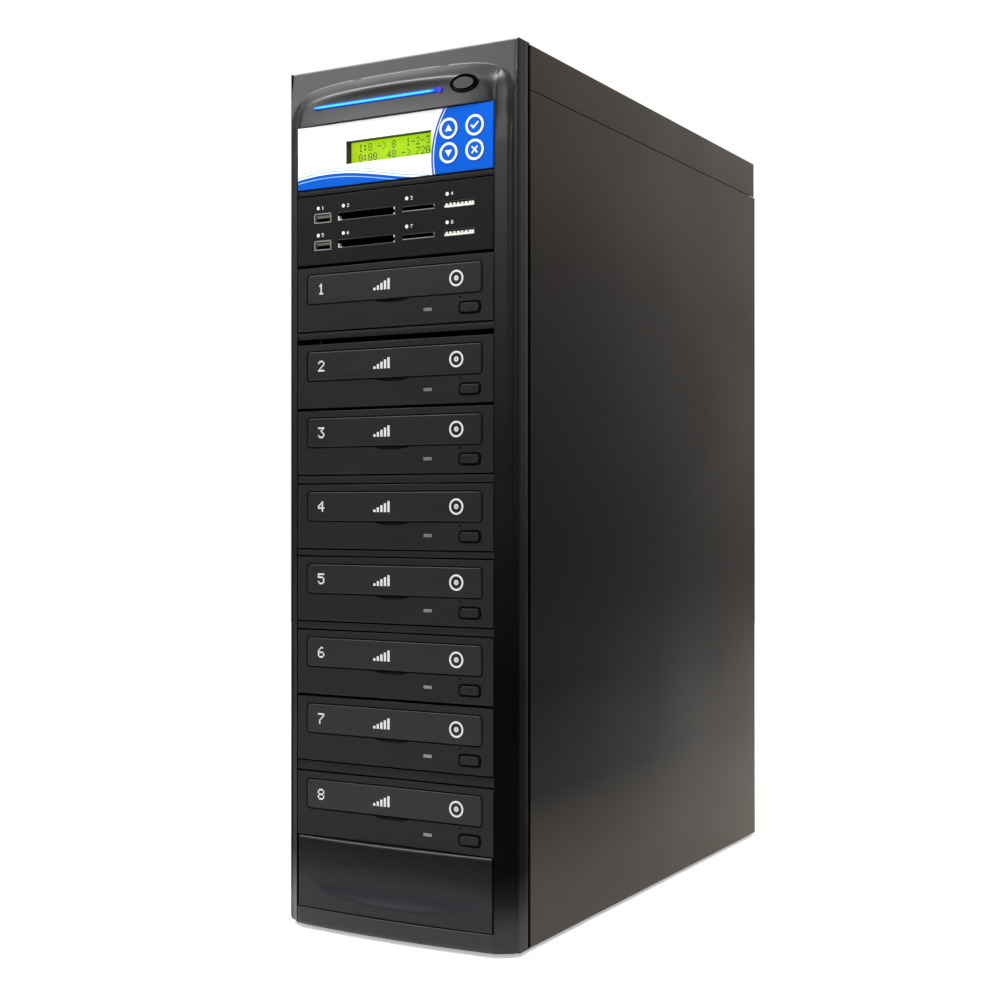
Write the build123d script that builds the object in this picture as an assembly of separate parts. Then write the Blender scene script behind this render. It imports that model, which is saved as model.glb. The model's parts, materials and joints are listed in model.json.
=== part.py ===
from build123d import *
import os

# A disc duplicator tower: a steel casing behind a moulded front bezel. The bezel holds, from
# the top, a light bar and power button, a control panel, a card reader, eight optical drives
# and a blank cover. X runs across the tower, Y from the front to the back, Z up. The origin is
# under the middle of the tower, on the surface that it stands on. Sizes are in millimetres.

os.makedirs("parts", exist_ok=True)

# Casing
tower_height = 563.8
foot_lift = 2.5
bezel_width = 173.7
bezel_depth = 25.0
side_inset = 0.4
casing_length = 397.0
sheet = 1.0
seam = 0.6
lip_drop = 28.3
cover_edge_radius = 1.2
core_gap = 3.25
flange_width = 3.0
base_flange_height = 14.0
hem_width = 14.0

# Bezel: bowed front, strips that slope back from the bays, and the raised head
bow = 4.0
corner_set_back = 7.2
corner_inset = 1.9
corner_run = 3.0
corner_radius = 2.2
head_lean = 3.4
head_edge_radius = 3.5
pillow_top = 10.3
pillow_inset = 1.7
pillow_shoulder_width = 9.5
pillow_shoulder_drop = 16.0
pillow_crown = 6.5
pillow_bend = (0.24, 0.36)
brow_start = 27.0
brow_swell = 3.4
trough_radius = 22.0
trough_depth = 3.2
bezel_wall = 2.4
bezel_clearance = 0.4
lip_edge_radius = 3.0
bar_set_back = 0.8
bar_depth = 4.2
bar_slit = 0.9
bar_root = 0.6

# What fills the bays, from the top down: shares of the height between the head and the lip
side_strip = 12.6
head_height = 39.7
lip_height = 12.5
panel_share = 40.9
panel_gap_share = 5.1
reader_share = 44.8
reader_gap_share = 2.0
drive_share = 41.6
drive_gap_shares = (8.8, 1.9, 6.6, 5.6, 6.4, 1.7, 7.8, 0.9)
cover_share = 46.3
least_bar_share = 4.0
wide_gap_share = 8.0
wide_bar_share = 4.2

# Light bar and power button
light_length = 99.1
light_height = 2.9
light_middle = -11.3
light_depth = 5.0
light_rise = 11.6
light_proud = 0.4
button_width = 16.4
button_height = 8.2
button_inset = 33.05
button_rise = 1.8
button_ring = 0.8
button_depth = 9.0
button_proud = 0.9
button_dome = 0.8
fine_gap = 0.1

# Control panel
plate_thickness = 3.0
module_side = 1.25
module_depth = 45.0
module_wall = 1.6
module_inset = 1.4
window_side = 41.8
window_height = 14.7
window_x = -2.95
window_drop = 20.0
window_tunnel = 6.0
window_frame = 2.0
display_width = 84.0
display_border = 5.45
display_depth = 9.5
key_radius = 6.8
key_gap = 0.15
key_proud = 0.35
key_depth = 4.4
key_insets = (31.95, 13.05)
key_rows = (13.3, 28.5)
key_edge = 0.3

# Card reader
usb_size = (14.4, 7.0)
usb_x = -54.4
usb_cutout = 0.4
cf_size = (44.6, 5.6)
cf_x = -20.1
sd_size = (24.8, 3.6)
sd_x = 19.6
ms_size = (22.4, 4.2)
ms_x = 49.6
slot_rows = (14.6, 32.4)
socket_wall = 0.4
socket_depth = 34.0
tongue_size = (11.6, 2.0)
tongue_rise = 1.0
tongue_start = 1.5

# Lower blank cover
blank_side_gap = 0.9
blank_wall = 3.0
blank_bow = 3.2
blank_depth = 14.0
dish_side = 12.25
dish_margin = 10.65
dish_depth = 2.6
dish_sweep = 5.0
dish_lift = 17.7

# Optical drive
drive_side = 1.25
drive_depth = 165.0
drive_wall = 1.0
drive_inset = 0.3
drive_plate = 5.0
drive_edge_radius = 0.5
tray_front_side = 8.25
tray_front_height = 18.5
tray_front_radius = 2.2
tray_front_drop = 5.0
tray_front_gap = 0.55
tray_front_proud = 0.3
tray_front_thickness = 5.6
scoop_width = 27.5
scoop_height = 2.2
scoop_depth = 1.6
tray_side = 9.0
tray_length = 152.0
tray_thickness = 7.0
tray_rise = 1.3
tray_rim = 4.0
disc_gap = 0.8
disc_margin = 7.0
recess_depth = 3.4
small_disc_radius = 40.6
small_recess_depth = 1.0
spindle_slot_width = 46.0
spindle_slot_ahead = 21.0
spindle_slot_behind = 62.0
rail_overlap = 4.0
rail_thickness = 2.0
rail_gap = 0.3
eject_width = 13.6
eject_height = 5.4
eject_radius = 1.9
eject_inset = 16.65
eject_drop = 32.9
eject_side_gap = 0.8
eject_top_gap = 1.3
eject_low_gap = 0.2
eject_proud = 1.0
eject_length = 6.5
pinhole_radius = 0.7
pinhole_inset = 23.55
pinhole_drop = 26.0
lens_width = 6.2
lens_height = 2.0
lens_inset = 47.45
lens_drop = 32.5
motor_radius = 14.0
motor_base = 5.0
hub_radius = 11.0
motor_clearance = 2.0
sled_width = 34.0
sled_length = 30.0
sled_behind = 24.0
sled_thickness = 5.0
rib_width = 3.0
rib_height = 9.0
rib_spacing = 24.0
rib_length = 70.0

# Cage, screws and board
cage_gap = 0.3
cage_length = 150.0
cage_flange = 7.0
screw_radius = 1.5
screw_head_radius = 2.8
screw_head_height = 1.8
screw_clearance = 0.06
screw_reach = 1.0
screw_places = (52.4, 131.6)
screw_rise = 10.0
tab_length = 12.0
tab_reach = 9.0
tab_places = (12.0, 108.0)
board_length = 120.0
board_thickness = 1.6
board_drop = 30.0
chip_size = 22.0
chip_height = 3.0
board_side_gap = 0.2

# Power supply and rear
supply_side = 7.2
supply_height = 86.0
supply_depth = 140.0
supply_wall = 1.0
supply_drop = 4.0
supply_border = 4.0
inlet_width = 28.0
inlet_height = 20.6
inlet_flange = 2.0
inlet_rim = 2.2
inlet_socket = (21.8, 14.4)
inlet_depth = 16.0
inlet_back = 2.0
inlet_inset = 23.0
inlet_rise = 22.0
inlet_radius = 2.0
inlet_body_radius = 1.0
pin_size = (2.0, 4.0)
pin_length = 10.5
pin_spacing = 14.0
pin_drop = 2.0
earth_rise = 2.0
rocker_width = 12.6
rocker_radius = 9.0
rocker_rise = 2.6
rocker_gap = 0.35
rocker_back = 5.4
rocker_back_half = 4.8
rocker_flank = 3.6
rocker_dip = 2.6
rocker_tilt = 7.0
rocker_pin_radius = 1.2
rocker_pin_length = 1.4
rocker_pin_gap = 0.06
rocker_inset = 23.0
rocker_above_inlet = 26.0
cheek_thickness = 2.0
cheek_wall = 1.2
vent_radius = 37.0
vent_inset = 45.0
vent_slot = 4.0
vent_pitch = 7.5
fan_size = 120.0
fan_thickness = 25.0
fan_drop = 263.8
fan_bore = 57.5
fan_corner = 6.0
rotor_radius = 56.0
rotor_hub_radius = 20.0
rotor_thickness = 18.0
rotor_inset = 1.5
blade_count = 7
blade_thickness = 1.6
blade_pitch = 38.0
blade_chord = 19.8
blade_root = 1.0
strut_width = 5.0
strut_thickness = 3.0
shaft_radius = 2.0
shaft_clearance = 0.06
shaft_engagement = 2.6
thumb_radius = 5.5
thumb_head = 6.0
thumb_shank_radius = 1.75
thumb_hole_gap = 0.08
thumb_reach = 4.0
thumb_inset = 8.0
thumb_ends = (60.0, 113.8)
foot_radius = 9.0
foot_inset = 28.85
foot_places = (38.0, 365.0)

# Leads inside
data_lead_radius = 2.0
data_lead_spacing = 11.0
data_lead_start = -56.0
data_lead_loop = 30.0
data_lead_bend = 12.0
power_trunk_radius = 4.0
power_stub_radius = 3.0
power_lead_x = 60.0
power_lead_set_back = 24.0

# Where things are
half_width = bezel_width / 2
case_half = half_width - side_inset
core_half = case_half - sheet - core_gap
filler_width = bezel_width - 2 * side_strip
opening_half = filler_width / 2 + bezel_clearance
hem = 2 * sheet
front_reach = bow
rear_reach = bezel_depth + casing_length + hem + thumb_head
bay_y = (front_reach - rear_reach) / 2
bezel_rear = bay_y + bezel_depth
casing_rear = bezel_rear + casing_length
bottom = foot_lift
top = bottom + tower_height
seam_z = top - lip_drop
floor_low = bottom + sheet
floor_high = floor_low + sheet
panel_top = top - head_height
shares = panel_share + panel_gap_share + reader_share + reader_gap_share + cover_share
shares += drive_share * len(drive_gap_shares) + sum(drive_gap_shares)
spread = (tower_height - head_height - lip_height) / shares
panel_height = panel_share * spread
panel_gap = panel_gap_share * spread
reader_height = reader_share * spread
reader_gap = reader_gap_share * spread
drive_height = drive_share * spread
drive_gaps = [share * spread for share in drive_gap_shares]
cover_height = cover_share * spread
display_height = panel_height - 2 * display_border
reader_top = panel_top - panel_height - panel_gap
drive_tops = [reader_top - reader_height - reader_gap]
for gap_below in drive_gaps:
    drive_tops.append(drive_tops[-1] - drive_height - gap_below)
cover_top = drive_tops.pop()
opening_low = cover_top - cover_height - bezel_clearance
opening_high = panel_top + bezel_clearance
module_width = filler_width - 2 * module_side
window_width = filler_width - 2 * window_side
key_columns = [filler_width / 2 - inset for inset in key_insets]
dish_width = filler_width - 2 * dish_side
dish_height = cover_height - 2 * dish_margin
dish_drop = cover_height - dish_lift
drive_width = filler_width - 2 * drive_side
tray_front_width = filler_width - 2 * tray_front_side
tray_width = drive_width - 2 * tray_side
disc_radius = tray_width / 2 - tray_rim
eject_x = filler_width / 2 - eject_inset
pinhole_x = filler_width / 2 - pinhole_inset
lens_x = filler_width / 2 - lens_inset
supply_width = 2 * (core_half - supply_side)
inlet_x = supply_width / 2 - inlet_inset
rocker_x = supply_width / 2 - rocker_inset
vent_x = vent_inset - supply_width / 2
button_x = half_width - button_inset
foot_x = half_width - foot_inset
fan_middle = tower_height - fan_drop
case_back = drive_plate + drive_depth
tray_low = -(tray_front_drop + tray_front_height) + tray_rise
tray_start = tray_front_thickness - tray_front_proud
disc_y = tray_start + disc_margin + disc_radius
cage_half = drive_width / 2 + cage_gap
frame_rear = bezel_rear + sheet
case_floor = -drive_inset - (drive_height - 2 * drive_inset) + drive_wall


def block(x, y, z):
    """Box between a low and a high limit along each axis."""
    size = (x[1] - x[0], y[1] - y[0], z[1] - z[0])
    middle = ((x[0] + x[1]) / 2, (y[0] + y[1]) / 2, (z[0] + z[1]) / 2)
    return Pos(*middle) * Box(*size)


def front_prism(outline, y_low, y_high):
    """Outline seen from the front, made solid from y_low back to y_high."""
    plane = Plane((0, y_high, 0), x_dir=(1, 0, 0), z_dir=(0, -1, 0))
    return extrude(plane * outline, y_high - y_low)


def side_prism(outline, x_low, x_high):
    """Outline of Y and Z, made solid from x_low to x_high."""
    plane = Plane((x_low, 0, 0), x_dir=(0, 1, 0), z_dir=(1, 0, 0))
    return extrude(plane * outline, x_high - x_low)


def rod_y(radius, y_low, y_high, x=0, z=0):
    """Round rod along Y."""
    return Pos(x, 0, z) * front_prism(Circle(radius), y_low, y_high)


def rod_x(radius, x_low, x_high, y=0, z=0):
    """Round rod along X."""
    return Pos(0, y, z) * side_prism(Circle(radius), x_low, x_high)


def save(node, *solids):
    shape = solids[0] if len(solids) == 1 else Compound(children=list(solids))
    export_step(shape, "parts/" + node + ".step")


# Front bezel


def bezel_plan():
    """The bezel from above: bowed front, sloping strips and straight sides, bays at Y = 0."""
    corner_x = half_width - corner_inset
    side_y = corner_set_back + corner_run
    front = ThreePointArc((-opening_half, 0), (0, -bow), (opening_half, 0))
    rest = Polyline(
        (opening_half, 0),
        (corner_x, corner_set_back),
        (half_width, side_y),
        (half_width, bezel_depth),
        (-half_width, bezel_depth),
        (-half_width, side_y),
        (-corner_x, corner_set_back),
        (-opening_half, 0),
    )
    face = make_face([*front.edges(), *rest.edges()])
    corners = [spot for spot in face.vertices() if abs(spot.Y - corner_set_back) < fine_gap]
    return fillet(corners, corner_radius)


def pillow_arch():
    """Front view of the raised head: strips below, round shoulders and a slightly crowned top."""
    side = half_width - pillow_inset
    crown_z = top - pillow_top
    shoulder_z = crown_z - pillow_crown
    shoulder_x = side - pillow_shoulder_width
    low_z = shoulder_z - pillow_shoulder_drop
    bend_x = side - pillow_shoulder_width * pillow_bend[0]
    bend_z = shoulder_z - pillow_shoulder_drop * pillow_bend[1]
    line = [
        Line((-side, bottom), (-side, low_z)),
        ThreePointArc((-side, low_z), (-bend_x, bend_z), (-shoulder_x, shoulder_z)),
        ThreePointArc((-shoulder_x, shoulder_z), (0, crown_z), (shoulder_x, shoulder_z)),
        ThreePointArc((shoulder_x, shoulder_z), (bend_x, bend_z), (side, low_z)),
        Line((side, low_z), (side, bottom)),
        Line((side, bottom), (-side, bottom)),
    ]
    return make_face([edge for piece in line for edge in piece.edges()])


def brow_profile():
    """Side view of the raised head: upright front that curves back at the brow."""
    crown_z = top - pillow_top
    start_z = crown_z - brow_start
    meet_y = corner_set_back + head_lean
    middle = ((meet_y - bow) / 2 - brow_swell, (crown_z + start_z) / 2 + brow_swell)
    low_z = bottom + lip_edge_radius
    low_y = lip_edge_radius - bow
    line = [
        RadiusArc((low_y, bottom), (-bow, low_z), lip_edge_radius),
        Line((-bow, low_z), (-bow, start_z)),
        ThreePointArc((-bow, start_z), middle, (meet_y, crown_z)),
        Line((meet_y, crown_z), (bezel_depth, crown_z)),
        Line((bezel_depth, crown_z), (bezel_depth, bottom)),
        Line((bezel_depth, bottom), (low_y, bottom)),
    ]
    return make_face([edge for piece in line for edge in piece.edges()])


def flange_profile():
    """Side view of the flange behind the raised head, which leans back towards its top."""
    bend_z = panel_top
    return make_face(
        Polyline(
            (corner_set_back, bottom),
            (corner_set_back, bend_z),
            (corner_set_back + head_lean, top),
            (bezel_depth, top),
            (bezel_depth, bottom),
            (corner_set_back, bottom),
        ).edges()
    )


def button_outline(ring):
    """Ellipse of the power button, widened by a ring."""
    return Ellipse(button_width / 2 + ring, button_height / 2 + ring)


def light_outline(ring):
    """Long round-ended outline of the light bar, widened by a ring."""
    return SlotOverall(light_length + 2 * ring, light_height + 2 * ring)


def light_z():
    return panel_top + light_rise


def crossbars():
    """Bars of the bezel between the bays, set back a little from their fronts."""
    tops = [panel_top, reader_top, *drive_tops]
    heights = [panel_height, reader_height] + [drive_height] * len(drive_tops)
    gaps = [panel_gap, reader_gap, *drive_gaps]
    bars = []
    for bay_top, height, gap in zip(tops, heights, gaps):
        if gap < least_bar_share * spread:
            continue
        high = bay_top - height - bar_slit
        wide = gap > wide_gap_share * spread
        low = high - (wide_bar_share * spread if wide else gap - 2 * bar_slit)
        depth = (bay_y + bar_set_back, bay_y + bar_set_back + bar_depth)
        reach = opening_half + bar_root
        bars.append(block((-reach, reach), depth, (low, high)))
    return bars


def front_bezel():
    plan = Pos(0, bay_y, bottom) * extrude(bezel_plan(), tower_height)
    arch = front_prism(pillow_arch(), bay_y - bow, bezel_rear)
    brow = side_prism(Pos(bay_y, 0) * brow_profile(), -half_width, half_width)
    flange = side_prism(Pos(bay_y, 0) * flange_profile(), -half_width, half_width)
    flange = fillet(flange.edges().filter_by(Axis.Y).group_by(Axis.Z)[-1], head_edge_radius)
    body = (plan & arch & brow) + (plan & flange)
    trough_y = bay_y - bow + trough_depth - trough_radius
    body -= rod_x(trough_radius, -half_width, half_width, trough_y, light_z() + button_rise / 2)
    opening = block(
        (-opening_half, opening_half),
        (bay_y - 2 * bow, bezel_rear),
        (opening_low, opening_high),
    )
    inner = half_width - bezel_wall
    hollow_y = bay_y + corner_set_back + head_lean + bezel_wall
    hollow = block((-inner, inner), (hollow_y, bezel_rear), (bottom + bezel_wall, top - bezel_wall))
    head_low = opening_high + bezel_wall
    head_high = top - pillow_top - pillow_crown - 2 * bezel_wall
    head_y = bay_y - bow + trough_depth + bezel_wall
    head = block((-opening_half, opening_half), (head_y, bezel_rear), (head_low, head_high))
    body = body - opening - hollow - head
    for bar in crossbars():
        body += bar
    through = (bay_y - 2 * bow, bezel_rear)
    body -= Pos(light_middle, 0, light_z()) * front_prism(light_outline(fine_gap), *through)
    body -= Pos(button_x, 0, light_z() + button_rise) * front_prism(
        button_outline(button_ring), *through
    )
    return body


def light_bar():
    face_y = bay_y - bow + trough_depth - light_proud
    bar = front_prism(light_outline(0), face_y, face_y + light_depth)
    return Pos(light_middle, 0, light_z()) * bar


def power_button():
    face_y = bay_y - bow + trough_depth - button_proud
    button = front_prism(button_outline(0), face_y, face_y + button_depth)
    front_edges = button.faces().sort_by(Axis.Y)[0].edges()
    button = fillet(front_edges, button_dome)
    return Pos(button_x, 0, light_z() + button_rise) * button


# Control panel


def module_shell(height):
    """Plastic tray of a bay module behind its front plate, open at the back."""
    half = module_width / 2
    low = -height + module_inset
    shell = block((-half, half), (plate_thickness, module_depth), (low, -module_inset))
    inside = block(
        (-half + module_wall, half - module_wall),
        (plate_thickness, module_depth),
        (low + module_wall, -module_inset - module_wall),
    )
    return shell - inside


def front_plate(height):
    plate = front_prism(Rectangle(filler_width, height), 0, plate_thickness)
    plate = fillet(plate.faces().sort_by(Axis.Y)[0].edges(), drive_edge_radius)
    return Pos(0, 0, -height / 2) * plate


def key_centres():
    return [(x, -z) for z in key_rows for x in key_columns]


def control_panel():
    body = front_plate(panel_height) + module_shell(panel_height)
    frame_outline = Rectangle(window_width + 2 * window_frame, window_height + 2 * window_frame)
    window = Pos(window_x, 0, -window_drop)
    body += window * front_prism(frame_outline, plate_thickness, window_tunnel)
    body -= window * front_prism(Rectangle(window_width, window_height), 0, window_tunnel)
    for x, z in key_centres():
        body -= rod_y(key_radius + key_gap, 0, plate_thickness, x, z)
    return Pos(0, bay_y, panel_top) * body


def display_module():
    face = Rectangle(display_width, display_height)
    module = front_prism(face, window_tunnel, window_tunnel + display_depth)
    return Pos(window_x, bay_y, panel_top - window_drop) * module


def key(x, z):
    cap = rod_y(key_radius, -key_proud, key_depth - key_proud, x, z)
    cap = fillet(cap.faces().sort_by(Axis.Y)[0].edges(), key_edge)
    return Pos(0, bay_y, panel_top) * cap


# Card reader


def socket_list():
    """Size, X and cut-out allowance of each socket of one row."""
    return [
        (usb_size, usb_x, usb_cutout),
        (cf_size, cf_x, fine_gap),
        (sd_size, sd_x, fine_gap),
        (ms_size, ms_x, fine_gap),
    ]


def card_reader_panel():
    body = front_plate(reader_height) + module_shell(reader_height)
    for row in slot_rows:
        for size, x, allowance in socket_list():
            cut = Rectangle(size[0] + 2 * allowance, size[1] + 2 * allowance)
            body -= Pos(x, 0, -row) * front_prism(cut, 0, plate_thickness)
    return Pos(0, bay_y, reader_top) * body


def socket(size):
    """Metal sleeve with a closed back."""
    sleeve = front_prism(Rectangle(*size), socket_wall, socket_depth)
    inside = Rectangle(size[0] - 2 * socket_wall, size[1] - 2 * socket_wall)
    return sleeve - front_prism(inside, socket_wall, socket_depth - socket_wall)


def card_reader_sockets():
    sockets = []
    for row in slot_rows:
        for size, x, allowance in socket_list():
            sleeve = socket(size)
            if size == usb_size:
                tongue = front_prism(Rectangle(*tongue_size), tongue_start, socket_depth - socket_wall)
                sleeve += Pos(0, 0, tongue_rise) * tongue
            sockets.append(Pos(x, bay_y, reader_top - row) * sleeve)
    return sockets


# Lower blank cover


def dish_cutter(half):
    """Ellipsoid whose cut into the bowed cover has the dish's depth, width and height."""
    reach = dish_sweep + dish_depth
    edge = dish_sweep + blank_bow * (dish_width / 2 / half) ** 2
    across = dish_width / 2 / (1 - (edge / reach) ** 2) ** 0.5
    up = dish_height / 2 / (1 - (dish_sweep / reach) ** 2) ** 0.5
    return scale(Sphere(1), by=(across, reach, up))


def lower_bay_cover():
    half = filler_width / 2 - blank_side_gap
    front = ThreePointArc((-half, 0), (0, -blank_bow), (half, 0))
    rest = Polyline((half, 0), (half, blank_depth), (-half, blank_depth), (-half, 0))
    outline = make_face([*front.edges(), *rest.edges()])
    cover = Pos(0, 0, -cover_height) * extrude(outline, cover_height)
    cover -= block(
        (-half + blank_wall, half - blank_wall),
        (dish_depth + blank_wall, blank_depth),
        (-cover_height + blank_wall, -blank_wall),
    )
    cover -= Pos(0, -blank_bow - dish_sweep, -dish_drop) * dish_cutter(half)
    return Pos(0, bay_y, cover_top) * cover


# Optical drives, drawn with their front at Y = 0 and their top at Z = 0


def tray_front_outline(gap):
    width = tray_front_width + 2 * gap
    height = tray_front_height + 2 * gap
    return Pos(0, -tray_front_drop - tray_front_height / 2) * RectangleRounded(
        width, height, tray_front_radius + gap
    )


def eject_outline():
    return RectangleRounded(eject_width, eject_height, eject_radius)


def drive_bezel():
    plate = front_prism(Rectangle(filler_width, drive_height), 0, drive_plate)
    plate = fillet(plate.faces().sort_by(Axis.Y)[0].edges(), drive_edge_radius)
    plate = Pos(0, 0, -drive_height / 2) * plate
    plate -= front_prism(tray_front_outline(tray_front_gap), 0, drive_plate)
    scoop = (scoop_width / 2, scoop_depth, tray_front_gap + scoop_height)
    plate -= Pos(0, 0, -tray_front_drop - tray_front_height) * scale(Sphere(1), by=scoop)
    hole_width = eject_width + 2 * eject_side_gap
    hole_height = eject_height + eject_top_gap + eject_low_gap
    hole_z = -eject_drop + (eject_top_gap - eject_low_gap) / 2
    hole = RectangleRounded(hole_width, hole_height, eject_radius + eject_side_gap / 2)
    plate -= Pos(eject_x, 0, hole_z) * front_prism(hole, 0, drive_plate)
    plate -= rod_y(pinhole_radius, 0, drive_plate, pinhole_x, -pinhole_drop)
    lens_hole = Rectangle(lens_width + 2 * fine_gap, lens_height + 2 * fine_gap)
    plate -= Pos(lens_x, 0, -lens_drop) * front_prism(lens_hole, 0, drive_plate)
    return plate


def tray_front():
    plate = front_prism(tray_front_outline(0), -tray_front_proud, tray_start)
    return fillet(plate.faces().sort_by(Axis.Y)[0].edges(), drive_edge_radius)


def disc_tray():
    half = tray_width / 2
    rim = tray_low + tray_thickness
    depth = (tray_start, tray_start + tray_length)
    tray = block((-half, half), depth, (tray_low, rim))
    recess = Cylinder(disc_radius + disc_gap, recess_depth)
    tray -= Pos(0, disc_y, rim - recess_depth / 2) * recess
    small = Cylinder(small_disc_radius, small_recess_depth)
    tray -= Pos(0, disc_y, rim - recess_depth - small_recess_depth / 2) * small
    slot_half = spindle_slot_width / 2
    tray -= block(
        (-slot_half, slot_half),
        (disc_y - spindle_slot_ahead, disc_y + spindle_slot_behind),
        (tray_low, rim),
    )
    return tray


def eject_button():
    button = front_prism(eject_outline(), -eject_proud, eject_length - eject_proud)
    button = fillet(button.faces().sort_by(Axis.Y)[0].edges(), drive_edge_radius)
    return Pos(eject_x, 0, -eject_drop) * button


def indicator_lens():
    lens = front_prism(Rectangle(lens_width, lens_height), 0, drive_plate)
    return Pos(lens_x, 0, -lens_drop) * lens


def drive_screw_places():
    """Side, Y and Z of the screws of one drive."""
    rise = -drive_height + drive_inset + screw_rise
    return [(side, drive_plate + y, rise) for side in (-1, 1) for y in screw_places]


def drive_case():
    half = drive_width / 2
    low = -drive_height + drive_inset
    inner = half - drive_wall
    case = block((-half, half), (drive_plate, case_back), (low, -drive_inset))
    case -= block(
        (-inner, inner),
        (drive_plate, case_back - drive_wall),
        (low + drive_wall, -drive_inset - drive_wall),
    )
    rail_high = tray_low - rail_gap
    rail_inner = tray_width / 2 - rail_overlap
    rib_y = disc_y + sled_behind
    for side in (-1, 1):
        rail_x = sorted((side * rail_inner, side * inner))
        rail_z = (rail_high - rail_thickness, rail_high)
        case += block(rail_x, (drive_plate + drive_wall, case_back - drive_wall), rail_z)
        rib_x = (side * rib_spacing / 2 - rib_width / 2, side * rib_spacing / 2 + rib_width / 2)
        case += block(rib_x, (rib_y, rib_y + rib_length), (case_floor, case_floor + rib_height))
    for side, y, z in drive_screw_places():
        reach = sorted((side * (inner - drive_wall), side * half))
        case -= rod_x(screw_radius + screw_clearance, reach[0], reach[1], y, z)
    return case


def spindle_motor():
    base_top = case_floor + motor_base
    base = Cylinder(motor_radius, motor_base)
    hub_height = tray_low - motor_clearance - base_top
    hub = Cylinder(hub_radius, hub_height)
    motor = Pos(0, 0, case_floor + motor_base / 2) * base
    motor += Pos(0, 0, base_top + hub_height / 2) * hub
    return Pos(0, disc_y, 0) * motor


def laser_sled():
    low = case_floor + rib_height + rail_gap
    half = sled_width / 2
    start = disc_y + sled_behind + rib_width
    return block((-half, half), (start, start + sled_length), (low, low + sled_thickness))


def drive_screw(side, y, z):
    """Screw through the cage wall into the drive's side."""
    outer = cage_half + sheet
    inner = drive_width / 2 - drive_wall - screw_reach
    shank = sorted((side * inner, side * outer))
    head = sorted((side * outer, side * (outer + screw_head_height)))
    screw = rod_x(screw_radius, shank[0], shank[1], y, z)
    return screw + rod_x(screw_head_radius, head[0], head[1], y, z)


# Frame and casing


def front_frame():
    plate = block((-core_half, core_half), (bezel_rear, frame_rear), (floor_high, top - sheet))
    return plate - block(
        (-opening_half, opening_half), (bezel_rear, frame_rear), (opening_low, opening_high)
    )


def board_z():
    return panel_top - board_drop


def drive_cage(side):
    """Wall beside the drives, with a flange to the front frame and tabs for the board."""
    wall_x = sorted((side * cage_half, side * (cage_half + sheet)))
    cage = block(wall_x, (frame_rear, frame_rear + cage_length), (opening_low, opening_high))
    flange_x = sorted((side * cage_half, side * (cage_half + cage_flange)))
    cage += block(flange_x, (frame_rear, frame_rear + sheet), (opening_low, opening_high))
    for bay_top in drive_tops:
        for screw_side, y, z in drive_screw_places():
            if screw_side == side:
                hole = rod_x(screw_radius + screw_clearance, *wall_x, bay_y + y, bay_top + z)
                cage -= hole
    tab_x = sorted((side * (cage_half - tab_reach), side * cage_half))
    board_start = bay_y + module_depth
    for place in tab_places:
        tab_y = (board_start + place, board_start + place + tab_length)
        cage += block(tab_x, tab_y, (board_z() - sheet, board_z()))
    return cage


def controller_board():
    half = cage_half - board_side_gap
    start = bay_y + module_depth
    low = board_z()
    board = block((-half, half), (start, start + board_length), (low, low + board_thickness))
    chip_top = low + board_thickness + chip_height
    for x in (-chip_size, chip_size):
        middle = start + board_length / 2
        chip_x = (x - chip_size / 2, x + chip_size / 2)
        chip_y = (middle - chip_size / 2, middle + chip_size / 2)
        board += block(chip_x, chip_y, (low + board_thickness, chip_top))
    return board


def chassis_base():
    depth = (bezel_rear, casing_rear)
    base = block((-core_half, core_half), depth, (floor_low, floor_high))
    for side in (-1, 1):
        flange_x = sorted((side * (core_half - sheet), side * core_half))
        flange_y = (frame_rear, casing_rear - sheet)
        flange_z = (floor_high, floor_high + base_flange_height)
        base += block(flange_x, flange_y, flange_z)
    return base


def supply_low():
    return top - sheet - supply_drop - supply_height


def vent_slots(radius, y_low, y_high):
    """Level slots that fill a circle."""
    count = int((radius - vent_slot / 2) / vent_pitch)
    slots = []
    for row in range(-count, count + 1):
        z = row * vent_pitch
        length = 2 * (radius**2 - z**2) ** 0.5
        for side in (-1, 1):
            width = length / 2 - vent_slot
            x = side * length / 4
            slots.append(Pos(x, 0, z) * front_prism(SlotOverall(width, vent_slot), y_low, y_high))
    return slots


def thumb_places():
    """X and Z of the thumbscrews of the right side."""
    heights = (bottom + thumb_ends[0], top - thumb_ends[1])
    return [(core_half - thumb_inset / 2, z) for z in heights]


def rear_panel():
    depth = (casing_rear - sheet, casing_rear)
    panel = block((-core_half, core_half), depth, (floor_high, top - sheet))
    edge = supply_width / 2 - supply_border
    low = supply_low() + supply_border
    panel -= block((-edge, edge), depth, (low, low + supply_height - 2 * supply_border))
    for slot in vent_slots(fan_bore, *depth):
        panel -= Pos(0, 0, bottom + fan_middle) * slot
    for x, z in thumb_places():
        for side in (-1, 1):
            panel -= rod_y(thumb_shank_radius + thumb_hole_gap, *depth, side * x, z)
    return panel


def top_cover():
    depth = (bezel_rear + seam, casing_rear)
    cover = block((-case_half, case_half), depth, (seam_z, top))
    cover = fillet(cover.edges().filter_by(Axis.Y).group_by(Axis.Z)[-1], cover_edge_radius)
    inner = case_half - sheet
    return cover - block((-inner, inner), depth, (seam_z, top - sheet))


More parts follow.
